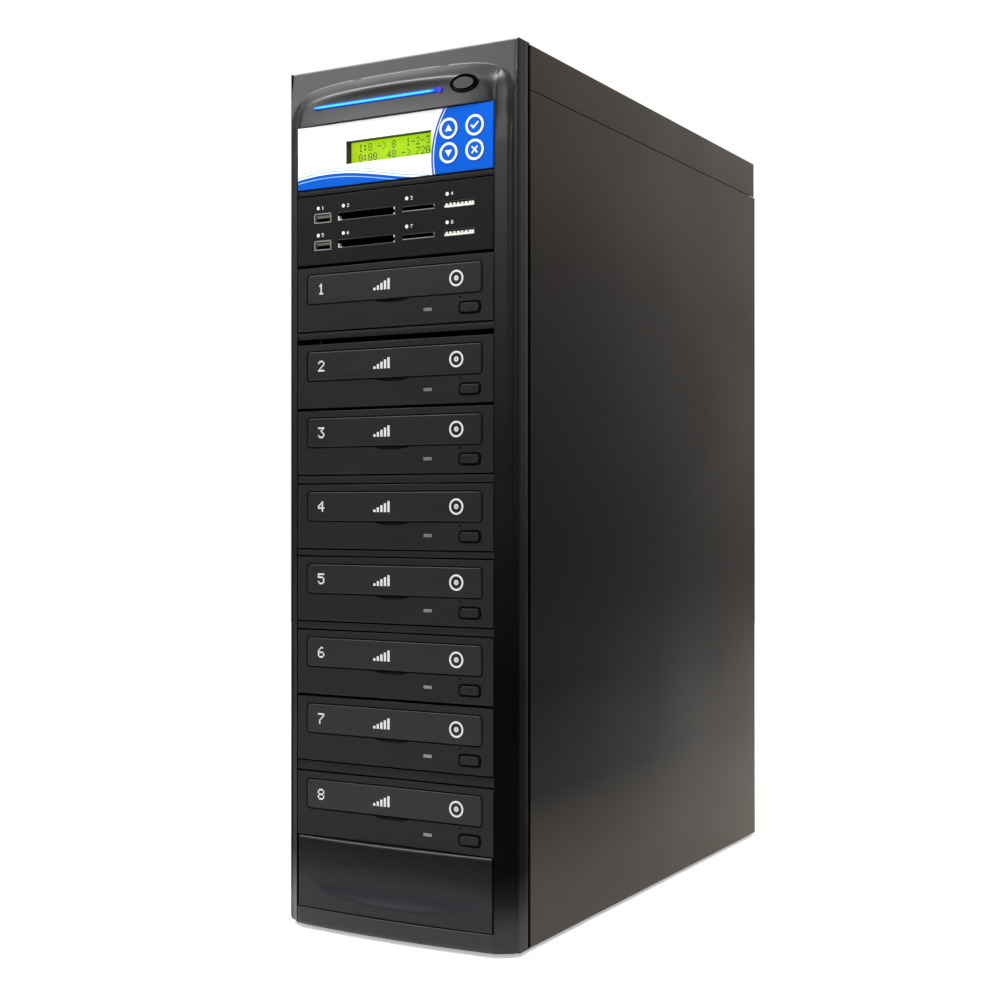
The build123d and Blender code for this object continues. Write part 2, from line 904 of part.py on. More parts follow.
def side_panel(side):
    """Flat sheet with turned-in edges above and below and a folded hem behind."""
    high = seam_z - seam
    inner = case_half - sheet
    depth = (bezel_rear + seam, casing_rear + hem)
    skin_x = sorted((side * inner, side * case_half))
    panel = block(skin_x, depth, (bottom, high))
    flange_x = sorted((side * (inner - flange_width), side * inner))
    flange_y = (bezel_rear + seam, casing_rear)
    panel += block(flange_x, flange_y, (bottom, floor_low))
    panel += block(flange_x, flange_y, (high - sheet, high))
    hem_x = sorted((side * (inner - hem_width), side * inner))
    panel += block(hem_x, (casing_rear, casing_rear + hem), (bottom, high))
    foot_x_range = sorted((side * (core_half - flange_width), side * inner))
    panel += block(foot_x_range, flange_y, (bottom, floor_low))
    for x, z in thumb_places():
        hole_radius = thumb_shank_radius + thumb_hole_gap
        panel -= rod_y(hole_radius, casing_rear, casing_rear + hem, side * x, z)
    return panel


def thumbscrew(x, z):
    start = casing_rear + hem
    screw = rod_y(thumb_radius, start, start + thumb_head, x, z)
    screw = fillet(screw.faces().sort_by(Axis.Y)[-1].edges(), drive_edge_radius)
    return screw + rod_y(thumb_shank_radius, casing_rear - sheet - thumb_reach, start, x, z)


def foot(x, y):
    height = floor_low
    pad = Cylinder(foot_radius, height)
    return Pos(x, y, height / 2) * pad


def feet():
    return [foot(x, bezel_rear + y) for y in foot_places for x in (-foot_x, foot_x)]


# Power supply, inlet, rocker and fan


def supply_rear():
    return casing_rear - sheet


def inlet_z():
    return supply_low() + inlet_rise


def rocker_z():
    return inlet_z() + rocker_above_inlet


def rocker_half_height():
    return rocker_radius + rocker_gap


def supply_case():
    rear = supply_rear()
    half = supply_width / 2
    low = supply_low()
    case = block((-half, half), (rear - supply_depth, rear), (low, low + supply_height))
    case -= block(
        (-half + supply_wall, half - supply_wall),
        (rear - supply_depth + supply_wall, rear - supply_wall),
        (low + supply_wall, low + supply_height - supply_wall),
    )
    wall = (rear - supply_wall, rear)
    inlet_hole = RectangleRounded(
        inlet_width - 2 * inlet_rim, inlet_height - 2 * inlet_rim, inlet_body_radius
    )
    case -= Pos(inlet_x, 0, inlet_z()) * front_prism(inlet_hole, *wall)
    rocker_half = rocker_width / 2 + rocker_gap
    rocker_hole = Rectangle(2 * rocker_half, 2 * rocker_half_height())
    case -= Pos(rocker_x, 0, rocker_z()) * front_prism(rocker_hole, *wall)
    for slot in vent_slots(vent_radius, *wall):
        case -= Pos(vent_x, 0, low + supply_height / 2) * slot
    cheek_half = rocker_pin_radius + cheek_wall
    cheek_depth = (rocker_y() - cheek_half, rear - supply_wall)
    cheek_height = (rocker_z() - cheek_half, rocker_z() + cheek_half)
    for side in (-1, 1):
        cheek_x = sorted((side * rocker_half, side * (rocker_half + cheek_thickness)))
        cheek_x = [rocker_x + value for value in cheek_x]
        cheek = block(cheek_x, cheek_depth, cheek_height)
        bore = rod_x(rocker_pin_radius + rocker_pin_gap, *cheek_x, rocker_y(), rocker_z())
        case += cheek - bore
    return case


def rocker_y():
    return supply_rear() - supply_wall - rocker_pin_radius - cheek_wall


def rocker_switch():
    """Rocker with a shallow V front, tilted to its ON side, turning on two short pins."""
    reach = supply_rear() + rocker_rise - rocker_y()
    half = rocker_radius - rocker_gap
    flank = reach - rocker_flank
    outline = make_face(
        Polyline(
            (-rocker_back, -rocker_back_half),
            (flank, -half),
            (reach, -half),
            (reach - rocker_dip, 0),
            (reach, half),
            (flank, half),
            (-rocker_back, rocker_back_half),
            (-rocker_back, -rocker_back_half),
        ).edges()
    )
    body_half = rocker_width / 2
    body = side_prism(outline, -body_half, body_half)
    pin_end = body_half + rocker_gap + rocker_pin_length
    body += rod_x(rocker_pin_radius, -pin_end, pin_end)
    return Pos(rocker_x, rocker_y(), rocker_z()) * Rot(-rocker_tilt, 0, 0) * body


def power_inlet():
    """Moulded mains socket: flange, body, recess and three blades."""
    rear = supply_rear()
    flange = RectangleRounded(inlet_width, inlet_height, inlet_radius)
    inlet = front_prism(flange, rear, rear + inlet_flange)
    body_width = inlet_width - 2 * inlet_rim - 2 * fine_gap
    body_height = inlet_height - 2 * inlet_rim - 2 * fine_gap
    body_outline = RectangleRounded(body_width, body_height, inlet_body_radius)
    back = rear + inlet_flange - inlet_depth - inlet_back
    inlet += front_prism(body_outline, back, rear)
    recess = RectangleRounded(*inlet_socket, inlet_radius)
    inlet -= front_prism(recess, rear + inlet_flange - inlet_depth, rear + inlet_flange)
    blade_y = (back + inlet_back, back + inlet_back + pin_length)
    places = [(-pin_spacing / 2, -pin_drop), (pin_spacing / 2, -pin_drop), (0, earth_rise)]
    for x, z in places:
        inlet += Pos(x, 0, z) * front_prism(Rectangle(*pin_size), *blade_y)
    return Pos(inlet_x, 0, inlet_z()) * inlet


def fan_y():
    return casing_rear - sheet - fan_thickness


def exhaust_fan_frame():
    """Square frame with a round bore, and a centre plate on four struts."""
    outline = RectangleRounded(fan_size, fan_size, fan_corner) - Circle(fan_bore)
    frame = front_prism(outline, 0, fan_thickness)
    strut = (0, strut_thickness)
    for angle in (45, 135, 225, 315):  # from the centre plate to the frame's corners
        reach = fan_bore + strut_width
        bar = Pos(reach / 2, 0) * Rectangle(reach, strut_width)
        frame += front_prism(Rot(0, 0, angle) * bar, *strut)
    frame += rod_y(rotor_hub_radius, 0, strut_thickness)
    frame -= rod_y(shaft_radius + shaft_clearance, 0, strut_thickness)
    return Pos(0, fan_y(), bottom + fan_middle) * frame


def exhaust_fan_rotor():
    start = strut_thickness + rotor_inset
    hub = rod_y(rotor_hub_radius, start, start + rotor_thickness)
    rotor = hub + rod_y(shaft_radius, strut_thickness - shaft_engagement, start)
    blade_length = rotor_radius - rotor_hub_radius + blade_root
    for number in range(blade_count):
        blade = Box(blade_length, blade_thickness, blade_chord)
        blade = Rot(90 - blade_pitch, 0, 0) * blade
        blade = Pos(rotor_hub_radius - blade_root + blade_length / 2, 0, 0) * blade
        angle = 360 / blade_count * number
        rotor += Pos(0, start + rotor_thickness / 2, 0) * Rot(0, angle, 0) * blade
    return Pos(0, fan_y(), bottom + fan_middle) * rotor


# Leads


def data_lead(number, bay_top):
    """Lead from the back of a drive up to the back edge of the board."""
    x = data_lead_start + number * data_lead_spacing
    start_y = bay_y + case_back
    loop_y = start_y + data_lead_loop
    start_z = bay_top - drive_height / 2
    board_edge = bay_y + module_depth + board_length
    end_z = board_z() + board_thickness / 2
    points = [
        (x, start_y, start_z),
        (x, loop_y, start_z),
        (x, loop_y, end_z),
        (x, board_edge, end_z),
    ]
    bend = data_lead_bend
    path = FilletPolyline(*points, radius=bend)
    lead = sweep(Plane(points[0], z_dir=(0, 1, 0)) * Circle(data_lead_radius), path=path)
    print("data lead", number + 1, "bend radius", bend, "length", round(path.length, 1))
    return lead


def power_harness():
    """Trunk down the back of the drives with one stub to each, fed from the power supply."""
    rear = bay_y + case_back
    trunk_y = rear + power_lead_set_back
    low = drive_tops[-1] - drive_height / 2
    high = supply_low() + supply_height / 2
    trunk = Cylinder(power_trunk_radius, high - low)
    harness = Pos(power_lead_x, trunk_y, (high + low) / 2) * trunk
    for bay_top in drive_tops:
        z = bay_top - drive_height / 2
        harness += rod_y(power_stub_radius, rear, trunk_y, power_lead_x, z)
    supply_front = supply_rear() - supply_depth
    feed = rod_y(power_trunk_radius, trunk_y, supply_front, power_lead_x, high)
    return harness + feed + Pos(power_lead_x, trunk_y, high) * Sphere(power_trunk_radius)


def wiring_loom():
    leads = [data_lead(number, bay_top) for number, bay_top in enumerate(drive_tops)]
    return [*leads, power_harness()]


def at_drives(shape):
    return [Pos(0, bay_y, bay_top) * shape for bay_top in drive_tops]


save("front_bezel", front_bezel())
save("light_bar", light_bar())
save("power_button", power_button())
save("control_panel", control_panel())
save("display_module", display_module())
for key_name, (key_x, key_z) in zip(("up", "enter", "down", "escape"), key_centres()):
    save("key_" + key_name, key(key_x, key_z))
save("card_reader_panel", card_reader_panel())
save("card_reader_sockets", *card_reader_sockets())
save("lower_bay_cover", lower_bay_cover())

save("drive_bezels", *at_drives(drive_bezel()))
save("drive_cases", *at_drives(drive_case()))
save("drive_indicator_lenses", *at_drives(indicator_lens()))
save("spindle_motors", *at_drives(spindle_motor()))
save("laser_sleds", *at_drives(laser_sled()))
tray_fronts = at_drives(tray_front())
disc_trays = at_drives(disc_tray())
eject_buttons = at_drives(eject_button())
for number in range(len(drive_tops)):
    save("tray_front_" + str(number + 1), tray_fronts[number])
    save("disc_tray_" + str(number + 1), disc_trays[number])
    save("eject_button_" + str(number + 1), eject_buttons[number])
drive_screws = []
for screw in [drive_screw(*place) for place in drive_screw_places()]:
    drive_screws.extend(at_drives(screw))
save("drive_screws", *drive_screws)

save("front_frame", front_frame())
save("drive_cage_left", drive_cage(-1))
save("drive_cage_right", drive_cage(1))
save("controller_board", controller_board())
save("chassis_base", chassis_base())
save("rear_panel", rear_panel())
save("top_cover", top_cover())
save("side_panel_left", side_panel(-1))
save("side_panel_right", side_panel(1))
save("thumbscrews_left", *[thumbscrew(-x, z) for x, z in thumb_places()])
save("thumbscrews_right", *[thumbscrew(x, z) for x, z in thumb_places()])
save("feet", *feet())

save("power_supply_case", supply_case())
save("power_inlet", power_inlet())
save("power_rocker_switch", rocker_switch())
save("exhaust_fan_frame", exhaust_fan_frame())
save("exhaust_fan_rotor", exhaust_fan_rotor())
save("wiring_loom", *wiring_loom())
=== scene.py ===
import bpy
import bmesh
import json
import math
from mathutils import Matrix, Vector


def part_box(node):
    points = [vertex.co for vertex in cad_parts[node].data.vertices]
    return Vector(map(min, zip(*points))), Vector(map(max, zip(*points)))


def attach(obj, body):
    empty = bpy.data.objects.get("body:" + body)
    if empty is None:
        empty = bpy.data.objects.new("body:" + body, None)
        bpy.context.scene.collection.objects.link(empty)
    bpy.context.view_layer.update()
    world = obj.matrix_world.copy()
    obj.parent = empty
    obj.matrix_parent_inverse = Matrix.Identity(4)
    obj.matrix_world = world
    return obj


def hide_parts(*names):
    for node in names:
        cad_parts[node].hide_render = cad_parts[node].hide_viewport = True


# Disc duplicator tower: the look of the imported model. Metres, Z up, front towards -Y.
# Sizes and places in the dictionaries are in millimetres.

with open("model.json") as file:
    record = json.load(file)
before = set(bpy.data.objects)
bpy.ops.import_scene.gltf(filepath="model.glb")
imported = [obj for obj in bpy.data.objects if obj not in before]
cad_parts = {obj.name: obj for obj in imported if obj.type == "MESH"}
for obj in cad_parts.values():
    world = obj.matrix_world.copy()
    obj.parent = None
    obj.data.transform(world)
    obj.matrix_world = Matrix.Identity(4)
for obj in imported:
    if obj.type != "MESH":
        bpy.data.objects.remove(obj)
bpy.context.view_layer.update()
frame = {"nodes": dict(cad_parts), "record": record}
nodes = frame["nodes"]
mm = 0.001
towerTop = 566.3


def hexColour(text):
    channels = [int(text[i:i + 2], 16) / 255 for i in (1, 3, 5)]
    return [c / 12.92 if c < 0.04045 else ((c + 0.055) / 1.055) ** 2.4 for c in channels] + [1.0]


def grey(value):
    return (value, value, value, 1.0)


def setInputs(tree, node, inputs):
    # a node stands for its first output; a socket is linked, any other value is set
    for key, value in inputs.items():
        if isinstance(value, bpy.types.Node):
            value = value.outputs[0]
        if isinstance(value, bpy.types.NodeSocket):
            tree.links.new(value, node.inputs[key])
        else:
            node.inputs[key].default_value = value


def addNode(tree, kind, inputs=None, stops=None, **settings):
    node = tree.nodes.new(kind if "Node" in kind else "ShaderNode" + kind)
    for key, value in settings.items():
        setattr(node, key, value)
    setInputs(tree, node, inputs or {})
    if stops:  # of a colour ramp: where each one is, and its hex colour, share of grey or linear colour
        elements = node.color_ramp.elements
        while len(elements) < len(stops):
            elements.new(0.5)
        for element, (position, colour) in zip(elements, stops):
            element.position = position
            if isinstance(colour, str):
                colour = hexColour(colour)
            element.color = grey(colour) if isinstance(colour, float) else colour
    return node


def newMaterial(name):
    material = bpy.data.materials.new(name)
    material.use_nodes = True
    tree = material.node_tree
    return material, tree, tree.nodes["Principled BSDF"]


def place(tree):
    coords = addNode(tree, "TexCoord").outputs["Object"]
    parts = addNode(tree, "SeparateXYZ", {0: coords})
    return coords, parts.outputs


# Settings of a Mix node that multiplies two colours
multiply = {"data_type": "RGBA", "blend_type": "MULTIPLY"}


def grainRelief(tree, shader, coords, scale, strength, height, detail=2.0, rough=0.5):
    # fine noise that also lifts the surface by up to height (mm)
    grain = addNode(tree, "TexNoise", {
        "Vector": coords, "Scale": scale, "Detail": detail, "Roughness": rough,
    })
    bump = addNode(tree, "Bump", {"Height": grain, "Strength": strength, "Distance": height * mm})
    setInputs(tree, shader, {"Normal": bump})
    return grain


def unevenGloss(tree, shader, noise, low, high):
    # roughness that wanders with a noise between two values
    gloss = addNode(tree, "MapRange", {
        "Value": noise, "From Min": 0.3, "From Max": 0.7, "To Min": low, "To Max": high,
    })
    setInputs(tree, shader, {"Roughness": gloss})


def dimTone(tree, shader, share):
    # the base colour so far, times a share
    tone = shader.inputs["Base Color"].links[0].from_socket
    dimmed = addNode(tree, "Mix", {0: 1.0, 6: tone, 7: share}, **multiply)
    setInputs(tree, shader, {"Base Color": dimmed.outputs[2]})


def heightShare(tree, parts):
    return addNode(tree, "MapRange", {"Value": parts["Z"], "From Min": 0.0, "From Max": towerTop * mm})


def speckled(name, low, high, rough, grain, bump, metal=0.0, coat=0.0, level=0.5):
    # two close tones, a grain of a real size in mm, and gloss that wanders over patches of 70 mm
    material, tree, shader = newMaterial(name)
    coords, _ = place(tree)
    fine = grainRelief(tree, shader, coords, 1 / (grain * mm), bump, 0.06, 3.0, 0.6)
    broad = addNode(tree, "TexNoise", {"Vector": coords, "Scale": 14.0, "Detail": 4.0, "Roughness": 0.55})
    broadShare = addNode(tree, "Math", {0: broad, 1: 0.65}, operation="MULTIPLY")
    cloud = addNode(tree, "Math", {0: fine, 1: 0.35, 2: broadShare}, operation="MULTIPLY_ADD")
    tone = addNode(tree, "ValToRGB", {"Fac": cloud}, [(0.3, low), (0.7, high)])
    setInputs(tree, shader, {
        "Base Color": tone, "Metallic": metal, "Coat Weight": coat, "Specular IOR Level": level,
    })
    unevenGloss(tree, shader, broad, rough - 0.04, rough + 0.04)
    return material


def fadeByHeight(material, stops):
    # gloss level and tone at shares of the tower's height: both sink where the light falls off
    tree = material.node_tree
    shader = tree.nodes["Principled BSDF"]
    _, parts = place(tree)
    level = addNode(tree, "ValToRGB", {"Fac": heightShare(tree, parts)}, stops)
    setInputs(tree, shader, {"Specular IOR Level": level})
    dimTone(tree, shader, addNode(tree, "MapRange", {
        "Value": level, "From Min": 0.0, "From Max": 0.4, "To Min": 0.25, "To Max": 1.0,
    }))


def darkRim(material, rim):
    # painted shade: black without sheen beyond an ellipse in X and Z, for the gap round a button
    tree = material.node_tree
    shader = tree.nodes["Principled BSDF"]
    coords, _ = place(tree)
    centre = (rim["x"] * mm, 0.0, rim["z"] * mm)
    perHalf = (1 / (rim["halfX"] * mm), 0.0, 1 / (rim["halfZ"] * mm))
    fromCentre = addNode(tree, "VectorMath", {0: coords, 1: centre}, operation="SUBTRACT")
    inHalves = addNode(tree, "VectorMath", {0: fromCentre, 1: perHalf}, operation="MULTIPLY")
    reach = addNode(tree, "VectorMath", {0: inHalves, 1: inHalves}, operation="DOT_PRODUCT")
    keep = addNode(tree, "MapRange", {
        "Value": reach.outputs["Value"], "From Min": 0.9, "From Max": 1.1, "To Min": 1.0, "To Max": 0.0,
    })
    dimTone(tree, shader, keep)
    level = addNode(tree, "Math", {0: keep, 1: 0.5}, operation="MULTIPLY")
    setInputs(tree, shader, {"Specular IOR Level": level})


def paintedSteel():
    # sheet steel with a brown-black powder coat: fine orange peel and a warm satin sheen;
    # painted light: tone and sheen level raised towards the top, the bottom and the back
    material, tree, shader = newMaterial("paintedSteel")
    coords, parts = place(tree)
    grainRelief(tree, shader, coords, 1 / (0.9 * mm), 0.35, 0.08)
    broad = addNode(tree, "TexNoise", {  # patches about 110 mm wide
        "Vector": coords, "Scale": 9.0, "Detail": 3.0, "Roughness": 0.5,
    })
    height = heightShare(tree, parts)
    # painted shade and painted reflection: tone darkest at mid-height, lighter at the bottom and the top
    tone = addNode(tree, "ValToRGB", {"Fac": height}, [
        (0.0, "#2a2523"), (0.13, "#1a1615"), (0.45, "#0c0a09"), (0.8, "#141110"), (1.0, "#1e1a19"),
    ])
    blotch = addNode(tree, "ValToRGB", {"Fac": broad}, [(0.35, 0.86), (0.65, 1.0)])
    # painted reflection: sheen level by height, highest at the bottom and the top
    rise = addNode(tree, "ValToRGB", {"Fac": height}, [
        (0.0, 0.9), (0.06, 0.8), (0.17, 0.15), (0.29, 0.07), (0.53, 0.24),
        (0.76, 0.44), (0.88, 0.8), (1.0, 0.95),
    ])
    # painted reflection: sheen level rising from the front to the back
    depth = addNode(tree, "MapRange", {"Value": parts["Y"], "From Min": -0.19, "From Max": 0.21})
    back = addNode(tree, "ValToRGB", {"Fac": depth}, [
        (0.0, 0.0), (0.25, 0.03), (0.5, 0.12), (0.75, 0.36), (1.0, 0.72),
    ])
    share = addNode(tree, "Math", {0: rise, 1: back}, operation="ADD")
    level = addNode(tree, "Math", {0: share, 1: 0.58}, operation="MULTIPLY")
    setInputs(tree, shader, {
        "Base Color": tone, "Specular IOR Level": level,
        "Specular Tint": (1.0, 0.7, 0.4, 1.0),  # linear: warms the sheen
    })
    dimTone(tree, shader, blotch)
    # painted shade: tone dimmed with the same height and depth share
    dimTone(tree, shader, share)
    unevenGloss(tree, shader, broad, 0.31, 0.38)
    return material


def trayFrontPlastic():
    # moulded plastic brushed from side to side: faint level lines, and a painted sheen that is lighter
    # towards the middle
    material, tree, shader = newMaterial("trayFrontPlastic")
    coords, parts = place(tree)
    # lines about 0.24 mm high, drawn out 140 times as long as they are high
    stretched = addNode(tree, "VectorMath", {0: coords, 1: (30.0, 200.0, 4200.0)}, operation="MULTIPLY")
    lines = grainRelief(tree, shader, stretched, 1.0, 0.12, 0.04, 3.0, 0.6)
    halfTray = addNode(tree, "Math", {0: parts["X"], 1: 1 / 0.066}, operation="MULTIPLY")
    across = addNode(tree, "Math", {0: halfTray}, operation="ABSOLUTE")
    # painted sheen: tone lighter towards the tray's middle
    middle = addNode(tree, "ValToRGB", {"Fac": across}, [(0.0, 1.0), (0.55, 0.84), (1.0, 0.7)])
    middle.color_ramp.interpolation = "EASE"
    tone = addNode(tree, "ValToRGB", {"Fac": lines}, [(0.3, "#0e0d0c"), (0.7, "#151413")])
    setInputs(tree, shader, {"Base Color": tone, "Specular IOR Level": 0.32})
    dimTone(tree, shader, middle)
    unevenGloss(tree, shader, lines, 0.3, 0.42)
    return material


def lightLens():
    # lit acrylic light pipe: cyan core, deeper blue at the rim and at the right end
    material, tree, shader = newMaterial("lightBarLens")
    coords, parts = place(tree)
    low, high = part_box("light_bar")
    middleZ, halfZ = (low.z + high.z) / 2, (high.z - low.z) / 2
    rise = addNode(tree, "Math", {0: parts["Z"], 1: middleZ}, operation="SUBTRACT")
    rise = addNode(tree, "Math", {0: rise, 1: halfZ}, operation="DIVIDE")
    rise = addNode(tree, "Math", {0: rise}, operation="ABSOLUTE")
    across = addNode(tree, "MapRange", {"Value": parts["X"], "From Min": low.x, "From Max": high.x})
    core = addNode(tree, "ValToRGB", {"Fac": rise}, [
        (0.0, "#3cc0ff"), (0.35, "#1f98f4"), (0.65, "#1238c8"), (0.9, "#0a1480"),
    ])
    ends = addNode(tree, "ValToRGB", {"Fac": across}, [
        (0.0, "#6a8fc0"), (0.05, 1.0), (0.9, 1.0), (0.95, "#3040d0"), (1.0, "#2026a0"),
    ])
    cloud = addNode(tree, "TexNoise", {"Vector": coords, "Scale": 260.0, "Detail": 2.0})  # 4 mm
    soft = addNode(tree, "ValToRGB", {"Fac": cloud}, [(0.3, 0.86), (0.7, 1.0)])
    tint = core
    for share in (ends, soft):
        tint = addNode(tree, "Mix", {0: 1.0, 6: tint, 7: share}, **multiply).outputs[2]
    setInputs(tree, shader, {
        "Base Color": tint, "Emission Color": tint, "Emission Strength": 1.0, "Roughness": 0.3,
        "Specular IOR Level": 0.12,
    })
    return material


def overlayFilm():
    # printed polyester film: satin white field, blue field round the keys, plain blue band below
    film = {
        "arcX": 86.0, "arcZ": 31.0, "arcRadius": 56.6, "waveX": 92.0, "waveTurn": 0.036, "waveRise": 5.0,
        "bandTop": 37.5, "paperLeft": -74.0, "paperRight": 35.0, "height": 41.0, "soft": 0.12,
    }
    material, tree, shader = newMaterial("overlayFilm")
    coords, _ = place(tree)
    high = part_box("control_panel")[1]
    # mm to the right of the middle (X) and below the panel's top (Z)
    onPanel = addNode(tree, "VectorMath", {
        0: coords, 1: (1 / mm, 0.0, -1 / mm), 2: (0.0, 0.0, high.z / mm),
    }, operation="MULTIPLY_ADD")
    parts = addNode(tree, "SeparateXYZ", {0: onPanel}).outputs
    reach = addNode(tree, "VectorMath", {
        0: onPanel, 1: (film["arcX"], 0.0, film["arcZ"]),
    }, operation="DISTANCE").outputs["Value"]
    # above 0 inside the blue field
    field = addNode(tree, "Math", {0: film["arcRadius"], 1: reach}, operation="SUBTRACT")
    turn = addNode(tree, "Math", {
        0: parts["X"], 1: film["waveTurn"], 2: film["waveX"] * film["waveTurn"],
    }, operation="MULTIPLY_ADD")
    wave = addNode(tree, "Math", {0: turn}, operation="SINE")
    waved = addNode(tree, "Math", {0: wave, 1: film["waveRise"], 2: parts["Z"]}, operation="MULTIPLY_ADD")
    # above 0 inside the blue band
    band = addNode(tree, "Math", {0: waved, 1: film["bandTop"]}, operation="SUBTRACT")

    def past(value, start):
        return addNode(tree, "MapRange", {
            "Value": value, "From Min": start - film["soft"], "From Max": start + film["soft"],
        })

    def stripe(value, centre, half):
        offset = addNode(tree, "Math", {0: value, 1: centre}, operation="SUBTRACT")
        away = addNode(tree, "Math", {0: offset}, operation="ABSOLUTE")
        return addNode(tree, "MapRange", {
            "Value": away, "From Min": half + film["soft"], "From Max": half - film["soft"],
        })

    acrossShare = addNode(tree, "MapRange", {
        "Value": parts["X"], "From Min": film["paperLeft"], "From Max": film["paperRight"],
    })
    colour = addNode(tree, "ValToRGB", {"Fac": acrossShare}, [
        (0.0, "#f1f3fa"), (0.5, "#f6f7fc"), (1.0, "#fafafd"),
    ])
    downShare = addNode(tree, "MapRange", {
        "Value": parts["Z"], "From Min": 0.0, "From Max": film["height"],
    })
    blue = addNode(tree, "ValToRGB", {"Fac": downShare}, [
        (0.0, "#0259cb"), (0.6, "#0257c7"), (1.0, "#0254bf"),
    ])
    layers = [  # printed in this order
        (stripe(band, -3.2, 0.35), hexColour("#a9c6f2")),
        (stripe(band, -1.4, 0.3), hexColour("#7fabee")),
        (past(band, 0.0), blue),
        (stripe(band, 2.2, 0.22), hexColour("#9cc2f6")),
        (past(field, -2.2), hexColour("#eef3fb")),
        (past(field, 0.0), blue),
        (stripe(field, 1.7, 0.3), hexColour("#dfe9fa")),
    ]
    for cover, ink in layers:
        colour = addNode(tree, "Mix", {0: cover, 6: colour, 7: ink}, data_type="RGBA").outputs[2]
    grainRelief(tree, shader, coords, 2500.0, 0.1, 0.03)  # grain of 0.4 mm
    setInputs(tree, shader, {"Base Color": colour, "Roughness": 0.36, "Specular IOR Level": 0.05})
    return material


def displayGlass():
    # lit dot display behind clear plastic: yellow-green, yellower at the left
    material, tree, shader = newMaterial("displayGlass")
    coords, parts = place(tree)
    low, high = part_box("display_module")
    across = addNode(tree, "MapRange", {"Value": parts["X"], "From Min": low.x, "From Max": high.x})
    tone = addNode(tree, "ValToRGB", {"Fac": across}, [
        (0.0, "#b8da14"), (0.3, "#aedd12"), (0.7, "#a4d90f"), (1.0, "#9cd30c"),
    ])
    cloud = addNode(tree, "TexNoise", {"Vector": coords, "Scale": 60.0, "Detail": 2.0})  # 17 mm
    soft = addNode(tree, "ValToRGB", {"Fac": cloud}, [(0.3, 0.9), (0.7, 1.0)])
    tint = addNode(tree, "Mix", {0: 1.0, 6: tone, 7: soft}, **multiply).outputs[2]
    dim = addNode(tree, "Mix", {0: 0.55, 6: tint, 7: grey(0.0)}, data_type="RGBA").outputs[2]
    setInputs(tree, shader, {
        "Base Color": dim, "Emission Color": tint, "Emission Strength": 0.8, "Roughness": 0.35,
        "Specular IOR Level": 0.1,
    })
    return material


def keyFilm():
    # blue film stretched over the keys: satin, with a grain of 0.6 mm
    material, tree, shader = newMaterial("keyFilm")
    coords, _ = place(tree)
    grain = grainRelief(tree, shader, coords, 1800.0, 0.1, 0.03)
    tone = addNode(tree, "ValToRGB", {"Fac": grain}, [(0.3, "#0256c5"), (0.7, "#0259cb")])
    setInputs(tree, shader, {"Base Color": tone, "Roughness": 0.36, "Specular IOR Level": 0.05})
    return material


def plainInk(name, colour, glow=None, strength=0.0):
    # ink that covers a little unevenly, in specks of 0.7 mm
    material, tree, shader = newMaterial(name)
    coords, _ = place(tree)
    grain = addNode(tree, "TexNoise", {"Vector": coords, "Scale": 1500.0, "Detail": 2.0})
    base = hexColour(colour)
    tone = addNode(tree, "ValToRGB", {"Fac": grain}, [
        (0.3, [c * 0.88 for c in base[:3]] + [1.0]), (0.7, base),
    ])
    setInputs(tree, shader, {"Base Color": tone, "Roughness": 0.4})
    if glow:
        setInputs(tree, shader, {"Emission Color": hexColour(glow), "Emission Strength": strength})
    return material


print("materials")
